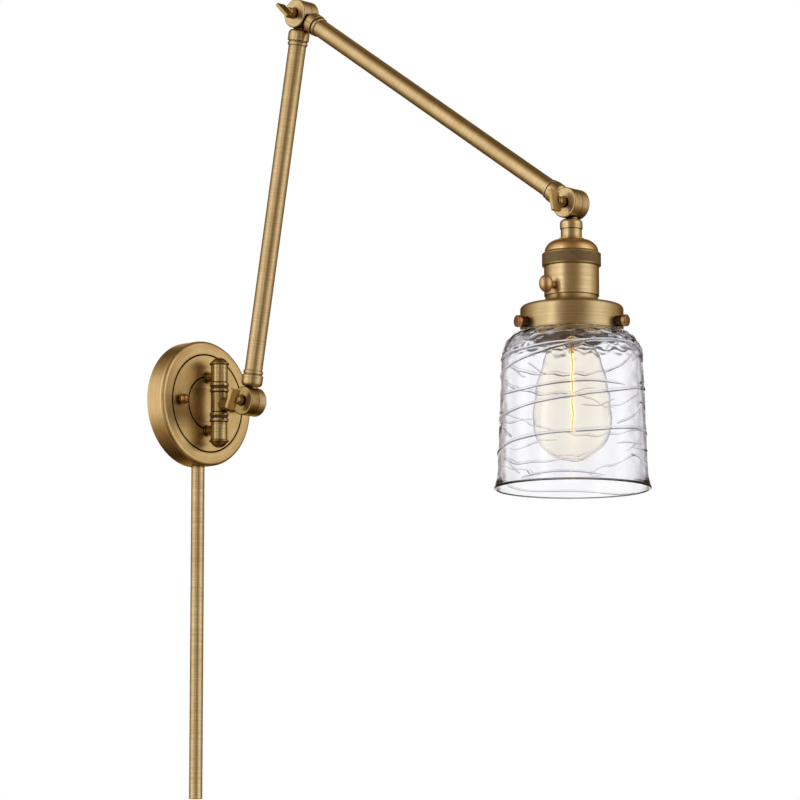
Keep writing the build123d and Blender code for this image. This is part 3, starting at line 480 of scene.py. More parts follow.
def add_piece(
    name: str, grids: Sequence[np.ndarray], material: Material, sharp_deg: float,
    body: str = "lamp_head", closed: bool = False, replaced: Sequence[str] = (),
) -> bpy.types.Object:
    """Puts worked-out surfaces into the scene as one piece that rides on a body.

    Their points are in metres in the lamp's frame. Points that meet are merged, so seams and poles are
    closed, and the quads are turned to face outwards by the sign of the volume that they enclose.

    Args:
        name: name of the piece.
        grids: its surfaces, each a stack of rings of points, by ring, point and axis.
        material: its finish.
        sharp_deg: angle between faces over which an edge stays sharp.
        body: body that it moves with.
        closed: whether the last ring of each surface joins the first one.
        replaced: solids that it stands for.

    Returns:
        The new object.
    """
    points = np.concatenate([grid.reshape(-1, 3) for grid in grids])
    starts = np.cumsum([0] + [grid.shape[0] * grid.shape[1] for grid in grids])
    quads = np.concatenate([ring_quads(*grid.shape[:2], closed) + at for grid, at in zip(grids, starts)])
    corner = points[quads]
    normals = np.cross(corner[:, 1], corner[:, 2]) + np.cross(corner[:, 2], corner[:, 3])
    faces = quads if np.sum(corner[:, 0] * normals) > 0 else quads[:, ::-1]
    mesh = bpy.data.meshes.new(name)
    mesh.from_pydata(points.tolist(), [], faces.tolist())
    shape = bmesh.new()
    shape.from_mesh(mesh)
    bmesh.ops.remove_doubles(shape, verts=shape.verts, dist=MERGED)
    bmesh.ops.dissolve_degenerate(shape, edges=shape.edges, dist=SHORTEST)
    shape.to_mesh(mesh)
    shape.free()
    mesh.polygons.foreach_set("use_smooth", np.ones(len(mesh.polygons), dtype=bool))
    mesh.set_sharp_from_angle(angle=math.radians(sharp_deg))
    mesh.materials.append(material)
    piece = bpy.data.objects.new(name, mesh)
    bpy.context.scene.collection.objects.link(piece)
    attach(piece, body)
    if replaced:
        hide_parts(*replaced)
    LOG.info("piece %s: %d faces on %s", name, len(mesh.polygons), body)
    return piece


def refinish(piece: bpy.types.Object, material: Material, chosen: Callable[[np.ndarray], np.ndarray]) -> None:
    """Gives some faces of a piece a second finish.

    Args:
        piece: the piece.
        material: the second finish.
        chosen: tells from the faces' middles, in metres, one in each row, which faces get it.
    """
    piece.data.materials.append(material)
    middles = np.empty(len(piece.data.polygons) * 3)
    piece.data.polygons.foreach_get("center", middles)
    picked = chosen(middles.reshape(-1, 3)).astype(np.int32)
    piece.data.polygons.foreach_set("material_index", picked)


class SubAssembly:
    """Solids of the lamp that belong together."""

    def finishes(self) -> Finishes:
        """Finish of each group of solids, by their names."""
        raise NotImplementedError

    def dress(self) -> None:
        """Gives the solids their finishes."""
        for nodes, finish in self.finishes().items():
            for name in nodes:
                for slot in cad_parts[name].material_slots:
                    slot.material = finish.make()
                LOG.info("finish %s on %s", finish.name, name)


class WallMount(SubAssembly):
    """Plate on the wall with its cord cover, its fixings and the swivel post."""

    def finishes(self) -> Finishes:
        """Finish of each group of solids: spun, turned, drawn and toned brass, plated steel and fibre.

        Returns:
            Finishes by the names of the solids.
        """
        # The plate's wide occlusion reach paints the shade of the post and the ball nuts onto its face
        plate = Brass(
            "brass_spun_plate", "#e3c892", "#b6935a", axis=PLATE_AXIS, line_mm=1.4, depth=0.05,
            roughness=0.34, shade_reach_mm=4.5, scribed_mm=(42.6, 23.0),
        )
        post = Brass("brass_turned_post", "#d6c08c", "#94763f", axis=POST_AXIS, roughness=0.25)
        # Painted shade: the swivel takes a darker copy of the post's brass for the shadow of its key
        swivel = Brass("brass_turned_swivel_shaded", "#c2a872", "#7d6135", axis=POST_AXIS, roughness=0.3)
        cover = Brass("brass_drawn_cover", axis=COVER_AXIS, line_mm=1.3, depth=0.16)
        warm = {"grain": Grain.CAST, "roughness": 0.25, "depth": 0.03}
        toned = {"axis": POST_AXIS, "roughness": 0.27, "depth": 0.05}
        return {
            ("wall_plate",): plate,
            ("post_upper", "post_lower"): post,
            ("swivel_knuckle",): swivel,
            ("cord_cover", "cover_ring"): cover,
            ("ball_nuts",): Brass("brass_turned_warm", "#c99c60", "#936a3a", **warm),
            ("post_finials",): Brass("brass_turned_toned", "#a8875a", "#6d5233", **toned),
            ("mounting_bar", "plate_studs", "post_nuts", "pivot_rod"): ZINC,
            ("post_washers", "base_washer"): FIBRE,
        }


@dataclass
class Arm(SubAssembly):
    """Tube of an arm with its bead rings, its wire, the knuckles at its ends and the outer one's washer."""

    name: str
    axis: Axis
    ends: tuple[str, str]

    def finishes(self) -> Finishes:
        """Finish of each group of solids: drawn brass, turned brass, plastic and fibre.

        Returns:
            Finishes by the names of the solids.
        """
        knuckles = [f"{self.name}_{end}_knuckle" for end in self.ends]
        tube = Brass(f"brass_drawn_{self.name}", axis=self.axis, line_mm=1.3, depth=0.16)
        turned = Brass(f"brass_turned_{self.name}", axis=self.axis, line_mm=1.0, depth=0.08)
        return {
            (f"{self.name}_tube",): tube,
            (f"{self.name}_beads", *knuckles): turned,
            (f"{self.name}_wire",): PVC,
            (f"{self.ends[1]}_washer",): FIBRE,
        }


class Keys(SubAssembly):
    """Wing keys of the three knuckles."""

    def finishes(self) -> Finishes:
        """Cast brass for all three."""
        cast = {"grain": Grain.CAST, "line_mm": 0.9, "roughness": 0.28}
        return {("base_key", "elbow_key", "head_key"): Brass("brass_cast_key", "#cdb07b", "#9a7848", **cast)}


@dataclass(frozen=True)
class Knurl:
    """Diamond knurl rolled into a band of a turned piece.

    Attributes:
        count: diamonds in one turn.
        pitch: length of a diamond along the axis, in millimetres.
        depth: depth of its grooves.
        plain: length at each end of the band that stays plain, and length over which the knurl then sets in.
        rows: rows of points along the band.
        columns: columns of points in a diamond.
    """

    count: int
    pitch: float
    depth: float
    plain: float
    rows: int
    columns: int = 7

    def band(self, radius: float, start: float, end: float) -> np.ndarray:
        """Points (radius, along) of the band before it is knurled, one in each row."""
        return np.stack([np.full(self.rows, radius), np.linspace(start, end, self.rows)], axis=1)

    def carve(self, profile: np.ndarray, start: float, end: float) -> np.ndarray:
        """Turns a profile about an axis and cuts the knurl into its band.

        Two saw waves run along the two diagonals, each falling from 1 to 0 and back once in a pitch, and the
        knurl's height is the lower of the two.

        Args:
            profile: points (radius, along), one in each row.
            start: where the band starts along the axis.
            end: where the band ends.

        Returns:
            Points of the surface, by row, column and axis.
        """
        turn = full_turn(self.count * self.columns)
        radius, along = profile[:, :1], profile[:, 1:]
        around = turn[None, :] * self.count / FULL_TURN
        height = np.minimum(saw(around + along / self.pitch), saw(around - along / self.pitch))
        inside = np.clip(np.minimum(along - start, end - along) / self.plain - 1, 0, 1)
        return turn_profile(radius - self.depth * inside * (1 - height), along, turn)


@dataclass
class KnurledRing:
    """Ring that holds the cap on the socket's shell, with a diamond knurl round it.

    Sizes are in millimetres. The top, the bottom and the lip's bottom are drops from the head's pivot.
    The knurl's finish is darker, partly toning and partly painted shade of its grooves; the edge's finish is
    the brighter one of the plain faces.
    """

    top: float = 40.3
    bottom: float = 52.1
    radius: float = 23.9
    bore: float = 22.3
    lip: float = 21.85
    lip_bottom: float = 41.5
    top_chamfer: float = 1.5
    foot_chamfer: float = 0.9
    knurl: Knurl = Knurl(count=110, pitch=1.37, depth=0.26, plain=0.35, rows=56)
    # Darker brass on the knurl: partly toning, partly painted shade of its grooves
    finish: Brass = Brass(
        "brass_knurled_ring_shaded", "#94805f", "#6f5c42", grain=Grain.CAST, roughness=0.5, depth=0.05
    )
    edge_finish: Brass = Brass("brass_turned_ring_edge", "#dcc088", "#b08f58", depth=0.03, shade_reach_mm=1.0)

    def build(self) -> None:
        """Makes the ring: a closed profile turned about the head, with the knurl cut into its face."""
        start, end = self.top + self.top_chamfer, self.bottom - self.foot_chamfer
        crown, foot = self.radius - self.top_chamfer, self.radius - self.foot_chamfer
        before = [(self.lip, self.lip_bottom), (self.lip, self.top), (crown, self.top)]
        after = [(foot, self.bottom), (self.bore, self.bottom), (self.bore, self.lip_bottom)]
        profile = np.concatenate([before, self.knurl.band(self.radius, start, end), after])
        points = below_head(self.knurl.carve(profile, start, end))
        ring = add_piece(
            "knurled_ring_cut", [points], self.finish.make(), TURNED_SHARP, closed=True,
            replaced=["knurled_ring"],
        )
        high = HEAD_PIVOT[2] - MM * (start + self.knurl.plain)
        low = HEAD_PIVOT[2] - MM * (end - self.knurl.plain)
        refinish(ring, self.edge_finish.make(), lambda at: (at[:, 2] > high) | (at[:, 2] < low))


@dataclass
class ShadeScrews:
    """Three thumb screws that hold the glass, each with a knurled grip and a plain cap.

    Sizes are in millimetres. The screws lie at a drop from the head's pivot, and their tip, face and ends are
    distances from the head's axis. Faces within the slack of the grip's end count as the cap's.
    """

    angles: tuple[float, ...] = (40.0, 160.0, 280.0)
    drop: float = 100.1
    tip: float = 39.3
    face: float = 41.8
    shank: float = 1.8
    grip: float = 4.4
    grip_end: float = 48.0
    cap: float = 4.85
    cap_end: float = 51.5
    cap_round: float = 1.2
    round_points: int = 7
    slack: float = 0.01
    knurl: Knurl = Knurl(count=26, pitch=1.06, depth=0.24, plain=0.3, rows=44)
    # Dark brass on the knurled grip: partly toning, partly painted shade of the knurl; the cap stays bright
    finish: Brass = Brass(
        "brass_knurled_screw_shaded", "#5f4832", "#412e1e", grain=Grain.CAST, roughness=0.36, depth=0.05
    )
    cap_finish: Brass = Brass(
        "brass_turned_cap", "#bd8f68", "#916848", grain=Grain.CAST, roughness=0.3, depth=0.03
    )

    def build(self) -> None:
        """Makes the screws: one profile turned about each screw's own axis, knurled on its grip."""
        edge = (self.cap - self.cap_round, self.cap_end - self.cap_round)
        profile = np.concatenate(
            [
                [(0.0, self.tip), (self.shank, self.tip), (self.shank, self.face)],
                self.knurl.band(self.grip, self.face, self.grip_end),
                [(self.cap, self.grip_end)],
                arc(edge, self.cap_round, 0, QUARTER_TURN, self.round_points),
                [(0.0, self.cap_end)],
            ]
        )
        local = self.knurl.carve(profile, self.face, self.grip_end) * MM
        material, cap_material = self.finish.make(), self.cap_finish.make()
        centre = np.array(HEAD_PIVOT) - np.array([0.0, 0.0, self.drop * MM])
        cap_start = (self.grip_end - self.slack) * MM
        up = np.array([0.0, 0.0, 1.0])
        for number, angle in enumerate(self.angles, start=1):
            name = f"shade_screw_{number}"
            out = np.array([math.cos(math.radians(angle)), math.sin(math.radians(angle)), 0.0])
            points = centre + local @ np.stack([np.cross(up, out), up, out])
            screw = add_piece(
                f"{name}_knurled", [points], material, TURNED_SHARP, name, replaced=[name]
            )
            refinish(screw, cap_material, lambda at: (at - centre) @ out > cap_start)


@dataclass
class BellGlass:
    """Clear bell of blown glass, with slow ripples in its outer face.

    Sizes are in millimetres. The lip, the neck, the shoulder's end, the side's end and the rim have a radius
    each, and a drop from the head's pivot.
    """

    wall: float = 2.8
    lip: float = 40.2
    lip_top: float = 85.2
    lip_bottom: float = 89.2
    lip_round: float = 2.3
    neck: float = 39.2
    neck_end: float = 105.1
    shoulder: float = 57.0
    shoulder_end: float = 127.6
    side: float = 60.3
    side_end: float = 215.0
    rim: float = 63.5
    rim_end: float = 233.0
    # Points on the bends, and rows and columns of the faces
    lip_points: int = 6
    shoulder_points: int = 40
    flare_points: int = 24
    rim_points: int = 9
    columns: int = 320
    outer_rows: int = 130
    inner_rows: int = 30
    # Ripples: heights, numbers in one turn, and lengths down the wall in which a sine goes one radian
    fade: float = 6.0
    ripple: float = 0.09
    ripple_count: int = 5
    ripple_mm: Span = (9.0, 6.5)
    ripple_start: float = 1.0
    fine: float = 0.04
    fine_count: int = 17
    fine_mm: float = 3.1
    fine_weave: float = 2.0
    fine_weaves: int = 3
    # Facets on the shoulder: height, place, reach, and each saw's steps in one turn and length down the wall
    facet: float = 0.36
    facet_at: float = 15.0
    facet_reach: float = 12.0
    facet_saws: tuple[tuple[int, float], ...] = ((23, 14.0), (17, -11.0), (8, 9.0))
    finish: Glass = Glass("glass_blown_clear", "#ffffff", "#fafafd", (26.0, 26.0, 11.0), 0.0, 0.05)

    def outline(self, inset: float) -> np.ndarray:
        """Line of the bell from its neck to its rim, drawn in by a thickness.

        The shoulder is a quarter of an ellipse, the side is straight, and the flare is the arc that leaves
        the side along its own direction and ends at the rim.

        Args:
            inset: how far inside the outer face it lies.

        Returns:
            Points (radius, drop), from the neck's end to the rim.
        """
        neck, shoulder, side, rim = np.array([self.neck, self.shoulder, self.side, self.rim]) - inset
        angle = np.linspace(0, QUARTER_TURN, self.shoulder_points)
        out_to = neck + (shoulder - neck) * np.sin(angle)
        down_to = self.shoulder_end - (self.shoulder_end - self.neck_end - inset) * np.cos(angle)
        leave = unit(np.array([side - shoulder, self.side_end - self.shoulder_end]))
        out = np.array([leave[1], -leave[0]])
        chord = np.array([rim - side, self.rim_end - self.side_end])
        bend = chord @ chord / (2 * (out @ chord))
        most = 2 * math.asin(out @ chord / np.linalg.norm(chord))
        sweep = np.linspace(0, most, self.flare_points)[:, None]
        flare = np.array([side, self.side_end]) + bend * (np.sin(sweep) * leave + (1 - np.cos(sweep)) * out)
        return np.concatenate([np.stack([out_to, down_to], axis=1), flare])

    def wall_line(self) -> tuple[np.ndarray, np.ndarray, np.ndarray]:
        """The outer face's line, with its distance and direction at each point.

        Returns:
            Points (radius, drop), distances along the wall from the neck, and unit steps.
        """
        line = resample(self.outline(0.0), self.outer_rows)
        return line, distances(line), unit(np.gradient(line, axis=0))

    def swell(self, turn: np.ndarray, length: np.ndarray) -> np.ndarray:
        """Height of the ripples in the outer face.

        Two sines multiplied give slow ripples all over, with a finer, weaving sine on them. Three saw waves
        in different directions add to flat facets, which fade as a bell curve from the middle of the
        shoulder. All fade to nothing at the neck and the rim.

        Args:
            turn: angles about the head, in radians.
            length: distances along the wall from the neck, in millimetres.

        Returns:
            Heights in millimetres, as many as both together give.
        """
        first, second = (length / step for step in self.ripple_mm)
        slow = np.sin(self.ripple_count * turn + first) * np.sin(second + self.ripple_start)
        weave = self.fine_weave * np.sin(self.fine_weaves * turn)
        fine = np.sin(self.fine_count * turn + length / self.fine_mm + weave)
        near = np.exp(-(((length - self.facet_at) / self.facet_reach) ** 2))
        facets = sum(saw(count * turn / FULL_TURN + length / step) - 0.5 for count, step in self.facet_saws)
        total_length = self.wall_line()[1][-1]
        edge = np.clip(np.minimum(length, total_length - length) / self.fade, 0, 1)
        height = self.ripple * slow + self.fine * fine + self.facet * near * facets
        return height * edge * edge * (3 - 2 * edge)

    def build(self) -> None:
        """Makes the bell: a closed loop of lip, rippled outer face, rounded rim and inner face."""
        half = self.wall / 2
        rim_start = self.rim_end - half
        outer, length, step = self.wall_line()
        kept = outer[:, 1] < rim_start
        outer, length, step = outer[kept], length[kept], step[kept]
        inner = resample(self.outline(self.wall), self.inner_rows)[::-1]
        inner = inner[inner[:, 1] < rim_start]
        rim = arc((self.rim - half, rim_start), half, 0, HALF_TURN, self.rim_points)[1:-1]
        edge = (self.lip - self.lip_round, self.lip_top + self.lip_round)
        lip = np.concatenate(
            [
                [(self.neck - self.wall, self.lip_top)],
                arc(edge, self.lip_round, -QUARTER_TURN, 0, self.lip_points),
                [(self.lip, self.lip_bottom), (self.neck, self.lip_bottom)],
            ]
        )
        profile = np.concatenate([lip, outer, rim, inner])
        turn = full_turn(self.columns)
        radius = np.repeat(profile[:, :1], turn.size, axis=1)
        along = np.repeat(profile[:, 1:], turn.size, axis=1)
        swell = self.swell(turn[None, :], length[:, None])
        rows = slice(len(lip), len(lip) + len(outer))
        radius[rows] += swell * step[:, 1:]
        along[rows] -= swell * step[:, :1]
        points = below_head(turn_profile(radius, along, turn))
        add_piece(
            "bell_glass_blown", [points], self.finish.make(), GLASS_SHARP, closed=True,
            replaced=["glass_shade"],
        )


@dataclass(frozen=True)
class Trail:
    """One thread of glass laid on the bell.

    Attributes:
        height: where it crosses its middle, in millimetres along the wall from the neck.
        middle: angle of its middle about the head, in degrees.
        reach: angle that it runs to each side of its middle, in degrees.
        tilt: how far it climbs and falls once round, in millimetres.
        wave: size of its wander.
        wander: how many times it wanders in one turn.
        phase: where the wander starts, in degrees.
        width: its width at its widest.
    """

    height: float
    middle: float
    reach: float
    tilt: float
    wave: float
    wander: float
    phase: float
    width: float


@dataclass
class GlassThreads:
    """Threads of hot glass trailed round the bell.

    Attributes:
        flatness: a thread's height as a part of its width.
        gap: space under its flat foot, in millimetres.
        step: distance between its cross sections.
        crown: points over the top of a cross section.
        swing: how much its width comes and goes.
        swings: how many times it does so in one turn.
        taper: part of its half length over which it thins to its end.
    """

    bell: BellGlass
    flatness: float = 0.24
    gap: float = 0.03
    step: float = 0.9
    crown: int = 9
    swing: float = 0.22
    swings: int = 7
    taper: float = 0.35
    finish: Glass = Glass("glass_trailed_clear", "#fdfdff", "#f4f3f9", (6.0, 6.0, 6.0), 0.0, 0.0)

    TRAILS: ClassVar[tuple[Trail, ...]] = (
        Trail(29.5, 167, 170, 6, 1.0, 2, 20, 3.4),
        Trail(38, 167, 150, 14, 1.2, 2, 60, 3.2),
        Trail(59.5, 205, 62, 2, 1.6, 3, 200, 3.0),
        Trail(68.8, 222, 150, 11, 1.0, 3, 10, 3.2),
        Trail(101, 187, 165, 8, 1.4, 3, 310, 3.4),
        Trail(133.2, 212, 33, 0, 3.2, 2.8, 270, 2.2),
        Trail(131, 60, 75, 3, 1.6, 4, 0, 1.8),
        Trail(112, 20, 110, -6, 2.4, 3, 30, 1.8),
        Trail(82, 40, 120, 7, 2.4, 3, 90, 1.8),
        Trail(81, 275, 19, 35, 1.5, 9, 90, 2.4),
        Trail(94, 157, 9, -32, 0.4, 9, 0, 2.4),
        Trail(120, 164, 14, -41, 1.0, 10, 0, 1.6),
        Trail(117.5, 288, 18, -10, 1.0, 9, 0, 2.2),
        Trail(104.5, 275, 20, 7, 0.8, 9, 0, 1.5),
        Trail(75.5, 241, 14, 13, 1.5, 12, 90, 1.7),
        Trail(42, 262, 16, 37, 1.5, 10, 60, 2.2),
        Trail(47.5, 171, 10, -27, 1.2, 14, 0, 1.7),
        Trail(46.5, 190.5, 9, -29, 1.2, 16, 0, 1.6),
        Trail(52, 300, 12, 20, 1.0, 9, 0, 2.2),
        Trail(60, 303, 14, -22, 1.0, 9, 90, 2.2),
        Trail(68, 300, 13, 18, 1.2, 9, 30, 2.0),
        Trail(56, 30, 30, 14, 2.4, 8, 300, 1.3),
        Trail(96, 80, 28, -13, 2.2, 8, 20, 1.3),
    )

    def thread(self, trail: Trail) -> np.ndarray:
        """Points of one thread, cross section by cross section.

        Its line runs round the wall at a height plus a sine once round and a shorter wandering sine. A half
        ellipse with a flat foot is carried along it, square to the line and to the wall. Its width comes and
        goes as a sine, and thins to a point at both ends.

        Args:
            trail: the thread's place and run.

        Returns:
            Points in millimetres, with the drop as Z, by cross section, point and axis.
        """
        wall, length, step = self.bell.wall_line()
        reach, phase = math.radians(trail.reach), math.radians(trail.phase)
        away = np.linspace(-reach, reach, int(2 * reach * self.bell.side / self.step))
        turn = away + math.radians(trail.middle)
        height = trail.height - trail.tilt * np.sin(away) + trail.wave * np.sin(trail.wander * away + phase)
        radius, drop = (np.interp(height, length, wall[:, k]) for k in (0, 1))
        outward, downward = (np.interp(height, length, step[:, k]) for k in (0, 1))
        cosine, sine = np.cos(turn), np.sin(turn)
        around = np.stack([-sine, cosine, np.zeros_like(turn)], axis=1)
        along = np.stack([outward * cosine, outward * sine, downward], axis=1)
        out = np.stack([downward * cosine, downward * sine, -outward], axis=1)
        place = np.stack([radius * cosine, radius * sine, drop], axis=1)
        run = unit(np.stack([radius, np.gradient(height, away)], axis=1))
        across = run[:, :1] * along - run[:, 1:] * around
        ends = np.clip((reach - np.abs(away)) / (self.taper * reach), 0, 1)
        swing = 1 - self.swing * (0.5 + 0.5 * np.sin(self.swings * away + phase))
        width = (trail.width * np.sqrt(ends) * swing)[:, None, None]
        arch = np.linspace(0, HALF_TURN, self.crown)
        side, rise = (np.append(wave(arch), 0.0)[None, :, None] for wave in (np.cos, np.sin))
        foot = (self.gap + self.bell.swell(turn, height))[:, None, None]
        lifted = foot + self.flatness * width * rise
        return place[:, None, :] + 0.5 * width * side * across[:, None, :] + lifted * out[:, None, :]

    def build(self) -> None:
        """Makes the threads as one piece."""
        threads = [below_head(self.thread(trail)) for trail in self.TRAILS]
        add_piece("bell_glass_threads", threads, self.finish.make(), GLASS_SHARP)


@dataclass
class FilamentCoil:
    """Hairpin of coiled filament wire in the bulb.

    Sizes are in millimetres. The hairpin's top and its turn are drops from the head's pivot, and half the gap
    between its two lengths is given. The coil and the wire are given by their radii.
    """

    top: float = 120.4
    turn: float = 186.0
    half: float = 1.5
    coil: float = 0.42
    pitch: float = 0.9
    wire: float = 0.17
    steps_per_turn: int = 10
    sides: int = 6

    def build(self) -> None:
        """Makes the wire: a small ring carried along a helix that follows the hairpin.

        The hairpin goes down, round a half circle and up again. A helix of the coil's radius winds about it,
        and the wire's ring stands square to the helix.
        """
        straight = self.turn - self.half - self.top
        bend = HALF_TURN * self.half
        total = 2 * straight + bend
        place = np.linspace(0, total, int(total / self.pitch) * self.steps_per_turn)
        angle = np.clip((place - straight) / self.half, 0, HALF_TURN)
        cosine, sine, flat = np.cos(angle), np.sin(angle), np.zeros_like(angle)
        down = np.minimum(place, straight) - np.maximum(place - straight - bend, 0)
        middle = np.stack([self.half * cosine, flat, self.top + down + self.half * sine], axis=1)
        tangent = np.stack([-sine, flat, cosine], axis=1)
        side = np.stack([cosine, flat, sine], axis=1)
        depth = np.array([[0.0, 1.0, 0.0]])
        wind = (FULL_TURN * place / self.pitch)[:, None]
        outward = np.cos(wind) * side + np.sin(wind) * depth
        helix = middle + self.coil * outward
        around = FULL_TURN * self.coil / self.pitch
        run = unit(tangent + around * (-np.sin(wind) * side + np.cos(wind) * depth))
        other = np.cross(run, outward)
        ring = full_turn(self.sides)[None, :, None]
        spokes = np.cos(ring) * outward[:, None, :] + np.sin(ring) * other[:, None, :]
        tube = helix[:, None, :] + self.wire * spokes
        ends = np.repeat(helix[[0, -1]][:, None, :], self.sides, axis=1)
        points = below_head(np.concatenate([ends[:1], tube, ends[1:]]))
        wire = HOT_WIRE.make()
        add_piece("filament_coiled", [points], wire, WIRE_SHARP, replaced=["bulb_filament"])


@dataclass
class BulbMount:
    """Mica disc and support wires on the bulb's stem.

    Sizes are in millimetres. The disc and the wires' roots lie at drops from the head's pivot. The wires
    go from the root's distance from the axis to the reach's. The disc, its bore and the wire have radii.
    """

    disc_at: float = 113.2
    disc: float = 7.2
    bore: float = 1.75
    thick: float = 0.3
    columns: int = 64
    wires_at: float = 106.5
    root: float = 1.4
    reach: float = 6.4
    sag: float = 3.0
    wire: float = 0.28
    count: int = 7
    steps: int = 12
    sides: int = 6
    mica: Glass = Glass("mica_split_amber", "#c98a34", "#8a5518", (3.0, 3.0, 3.0), 0.15, 0.05)

    def build(self) -> None:
        """Makes the disc and the wires.

        The disc is a flat ring with square edges. Each wire is a small ring of points carried from the stem
        outwards along a quarter of a cosine, which leaves level and sags to its tip.
        """
        top, foot = self.disc_at, self.disc_at + self.thick
        profile = np.array([(self.bore, top), (self.disc, top), (self.disc, foot), (self.bore, foot)])
        disc = below_head(turn_profile(profile[:, :1], profile[:, 1:], full_turn(self.columns)))
        add_piece("bulb_mica_disc", [disc], self.mica.make(), TURNED_SHARP, closed=True)
        along = np.linspace(0, 1, self.steps)[None, :, None]
        angle = full_turn(self.count)[:, None, None]
        ring = full_turn(self.sides)[None, None, :]
        thick = np.concatenate([[0.0], np.ones(self.steps - 2), [0.0]])[None, :, None] * self.wire
        far = self.root + (self.reach - self.root) * along + 0 * ring
        side = thick * np.cos(ring)
        sag = self.sag * (1 - np.cos(along * QUARTER_TURN))
        drop = self.wires_at + sag + thick * np.sin(ring) + 0 * angle
        x = far * np.cos(angle) - side * np.sin(angle)
        y = far * np.sin(angle) + side * np.cos(angle)
        wires = below_head(np.stack([x, y, drop], axis=-1))
        # Painted glow: the support wires take the filament's glowing wire, though only the filament gives
        # light
        add_piece("bulb_support_wires", list(wires), HOT_WIRE.make(), WIRE_SHARP)


class LampHead(SubAssembly):
    """Socket with its cap, knob and fitter, the glass and the bulb."""

    def finishes(self) -> Finishes:
        """Finish of each group of solids: turned, spun, gilt and cast brass, steel, phenolic and glass.

        Returns:
            Finishes by the names of the solids.
        """
        gilt = Brass("brass_pressed_lamp_base", "#e6b75c", "#bd8a2e", roughness=0.25, shade_reach_mm=0.3)
        cast = {"grain": Grain.CAST, "roughness": 0.42, "depth": 0.04}
        bulb = Glass("glass_blown_bulb", "#fffefb", "#fef8ec", (9.0, 9.0, 60.0), 0.0, 0.04, ior=1.16)
        stem = Glass("glass_pressed_stem", "#ffdf9e", "#f2b95c", (4.0, 4.0, 9.0), 0.02, 0.05)
        return {
            ("head_knuckle", "head_coupling", "fitter_collar"): Brass(
                "brass_turned_head", line_mm=1.2, depth=0.06
            ),
            ("socket_cap",): Brass("brass_spun_cap", "#eac68f", "#c4985e", depth=0.05),
            ("socket_shell",): Brass("brass_brushed_shell", depth=0.12),
            ("fitter",): Brass("brass_spun_fitter", "#d3bd90", "#9c804f", depth=0.14, shade_reach_mm=0.6),
            ("switch_knob",): Brass("brass_cast_knob", "#e2bd8e", "#bf9262", **cast),
            ("screw_shell", "centre_contact", "clamp_ring", "bulb_base"): gilt,
            ("head_nipple", "cap_locknut"): ZINC,
            ("socket_body",): PHENOLIC,
            ("bulb_glass",): bulb,
            ("bulb_stem",): stem,
        }

    def build(self) -> None:
        """Makes the head's fine pieces."""
        bell = BellGlass()
        for part in (KnurledRing(), ShadeScrews(), bell, GlassThreads(bell), FilamentCoil(), BulbMount()):
            part.build()


@dataclass(frozen=True)
class SoftLamp:
    """Rectangular lamp of the studio, turned to its target.

    It stands at its start, moved along the line of sight, to the right and up, in metres. Its power is in
    watts, and shiny pieces show it only where in_gloss says so.
    """

    name: str
    size: Span
    power: float
    start: Point
    moved: Point = (0.0, 0.0, 0.0)
    in_gloss: bool = False


# Light in gloss round the studio: 0.5 is behind the lamp, and 0 and 1 are at the camera
GLOSS_TURNS = (
    (0.0, "#877662"), (0.07, "#877662"), (0.145, "#ffffff"), (0.19, "#ffffff"), (0.24, "#fffaf2"),
    (0.31, "#a59580"), (0.40, "#5f523f"), (0.45, "#5f523f"), (0.48, "#fffaf2"), (0.52, "#fffaf2"),
    (0.55, "#5f523f"), (0.60, "#5f523f"), (0.69, "#a59580"), (0.736, "#cbbfae"), (0.785, "#ffffff"),
    (0.855, "#ffffff"), (0.93, "#877662"), (1.0, "#877662"),
)

# Light in gloss from straight down, at 0, to straight up, at 1
GLOSS_LIFTS = (
    (0.0, "#8c7b63"), (0.22, "#8c7b63"), (0.36, "#bfab8f"), (0.44, "#ffffff"), (0.70, "#ffffff"),
    (0.80, "#bfab8f"), (0.92, "#76664e"), (1.0, "#76664e"),
)

# Light through glass from straight down to straight up, and the places in it of the band that may be darker
GLASS_LIFTS = (
    (0.0, "#ffffff"), (0.30, "#ffffff"), (0.42, "#b4b2bc"), (0.45, "#b4b2bc"), (0.475, "#ffffff"),
    (0.575, "#ffffff"), (0.60, "#b4b2bc"), (0.64, "#b4b2bc"), (0.69, "#b4b2bc"), (0.82, "#ffffff"),
    (1.0, "#ffffff"),
)
GLASS_BAND = (0.60, 0.64)


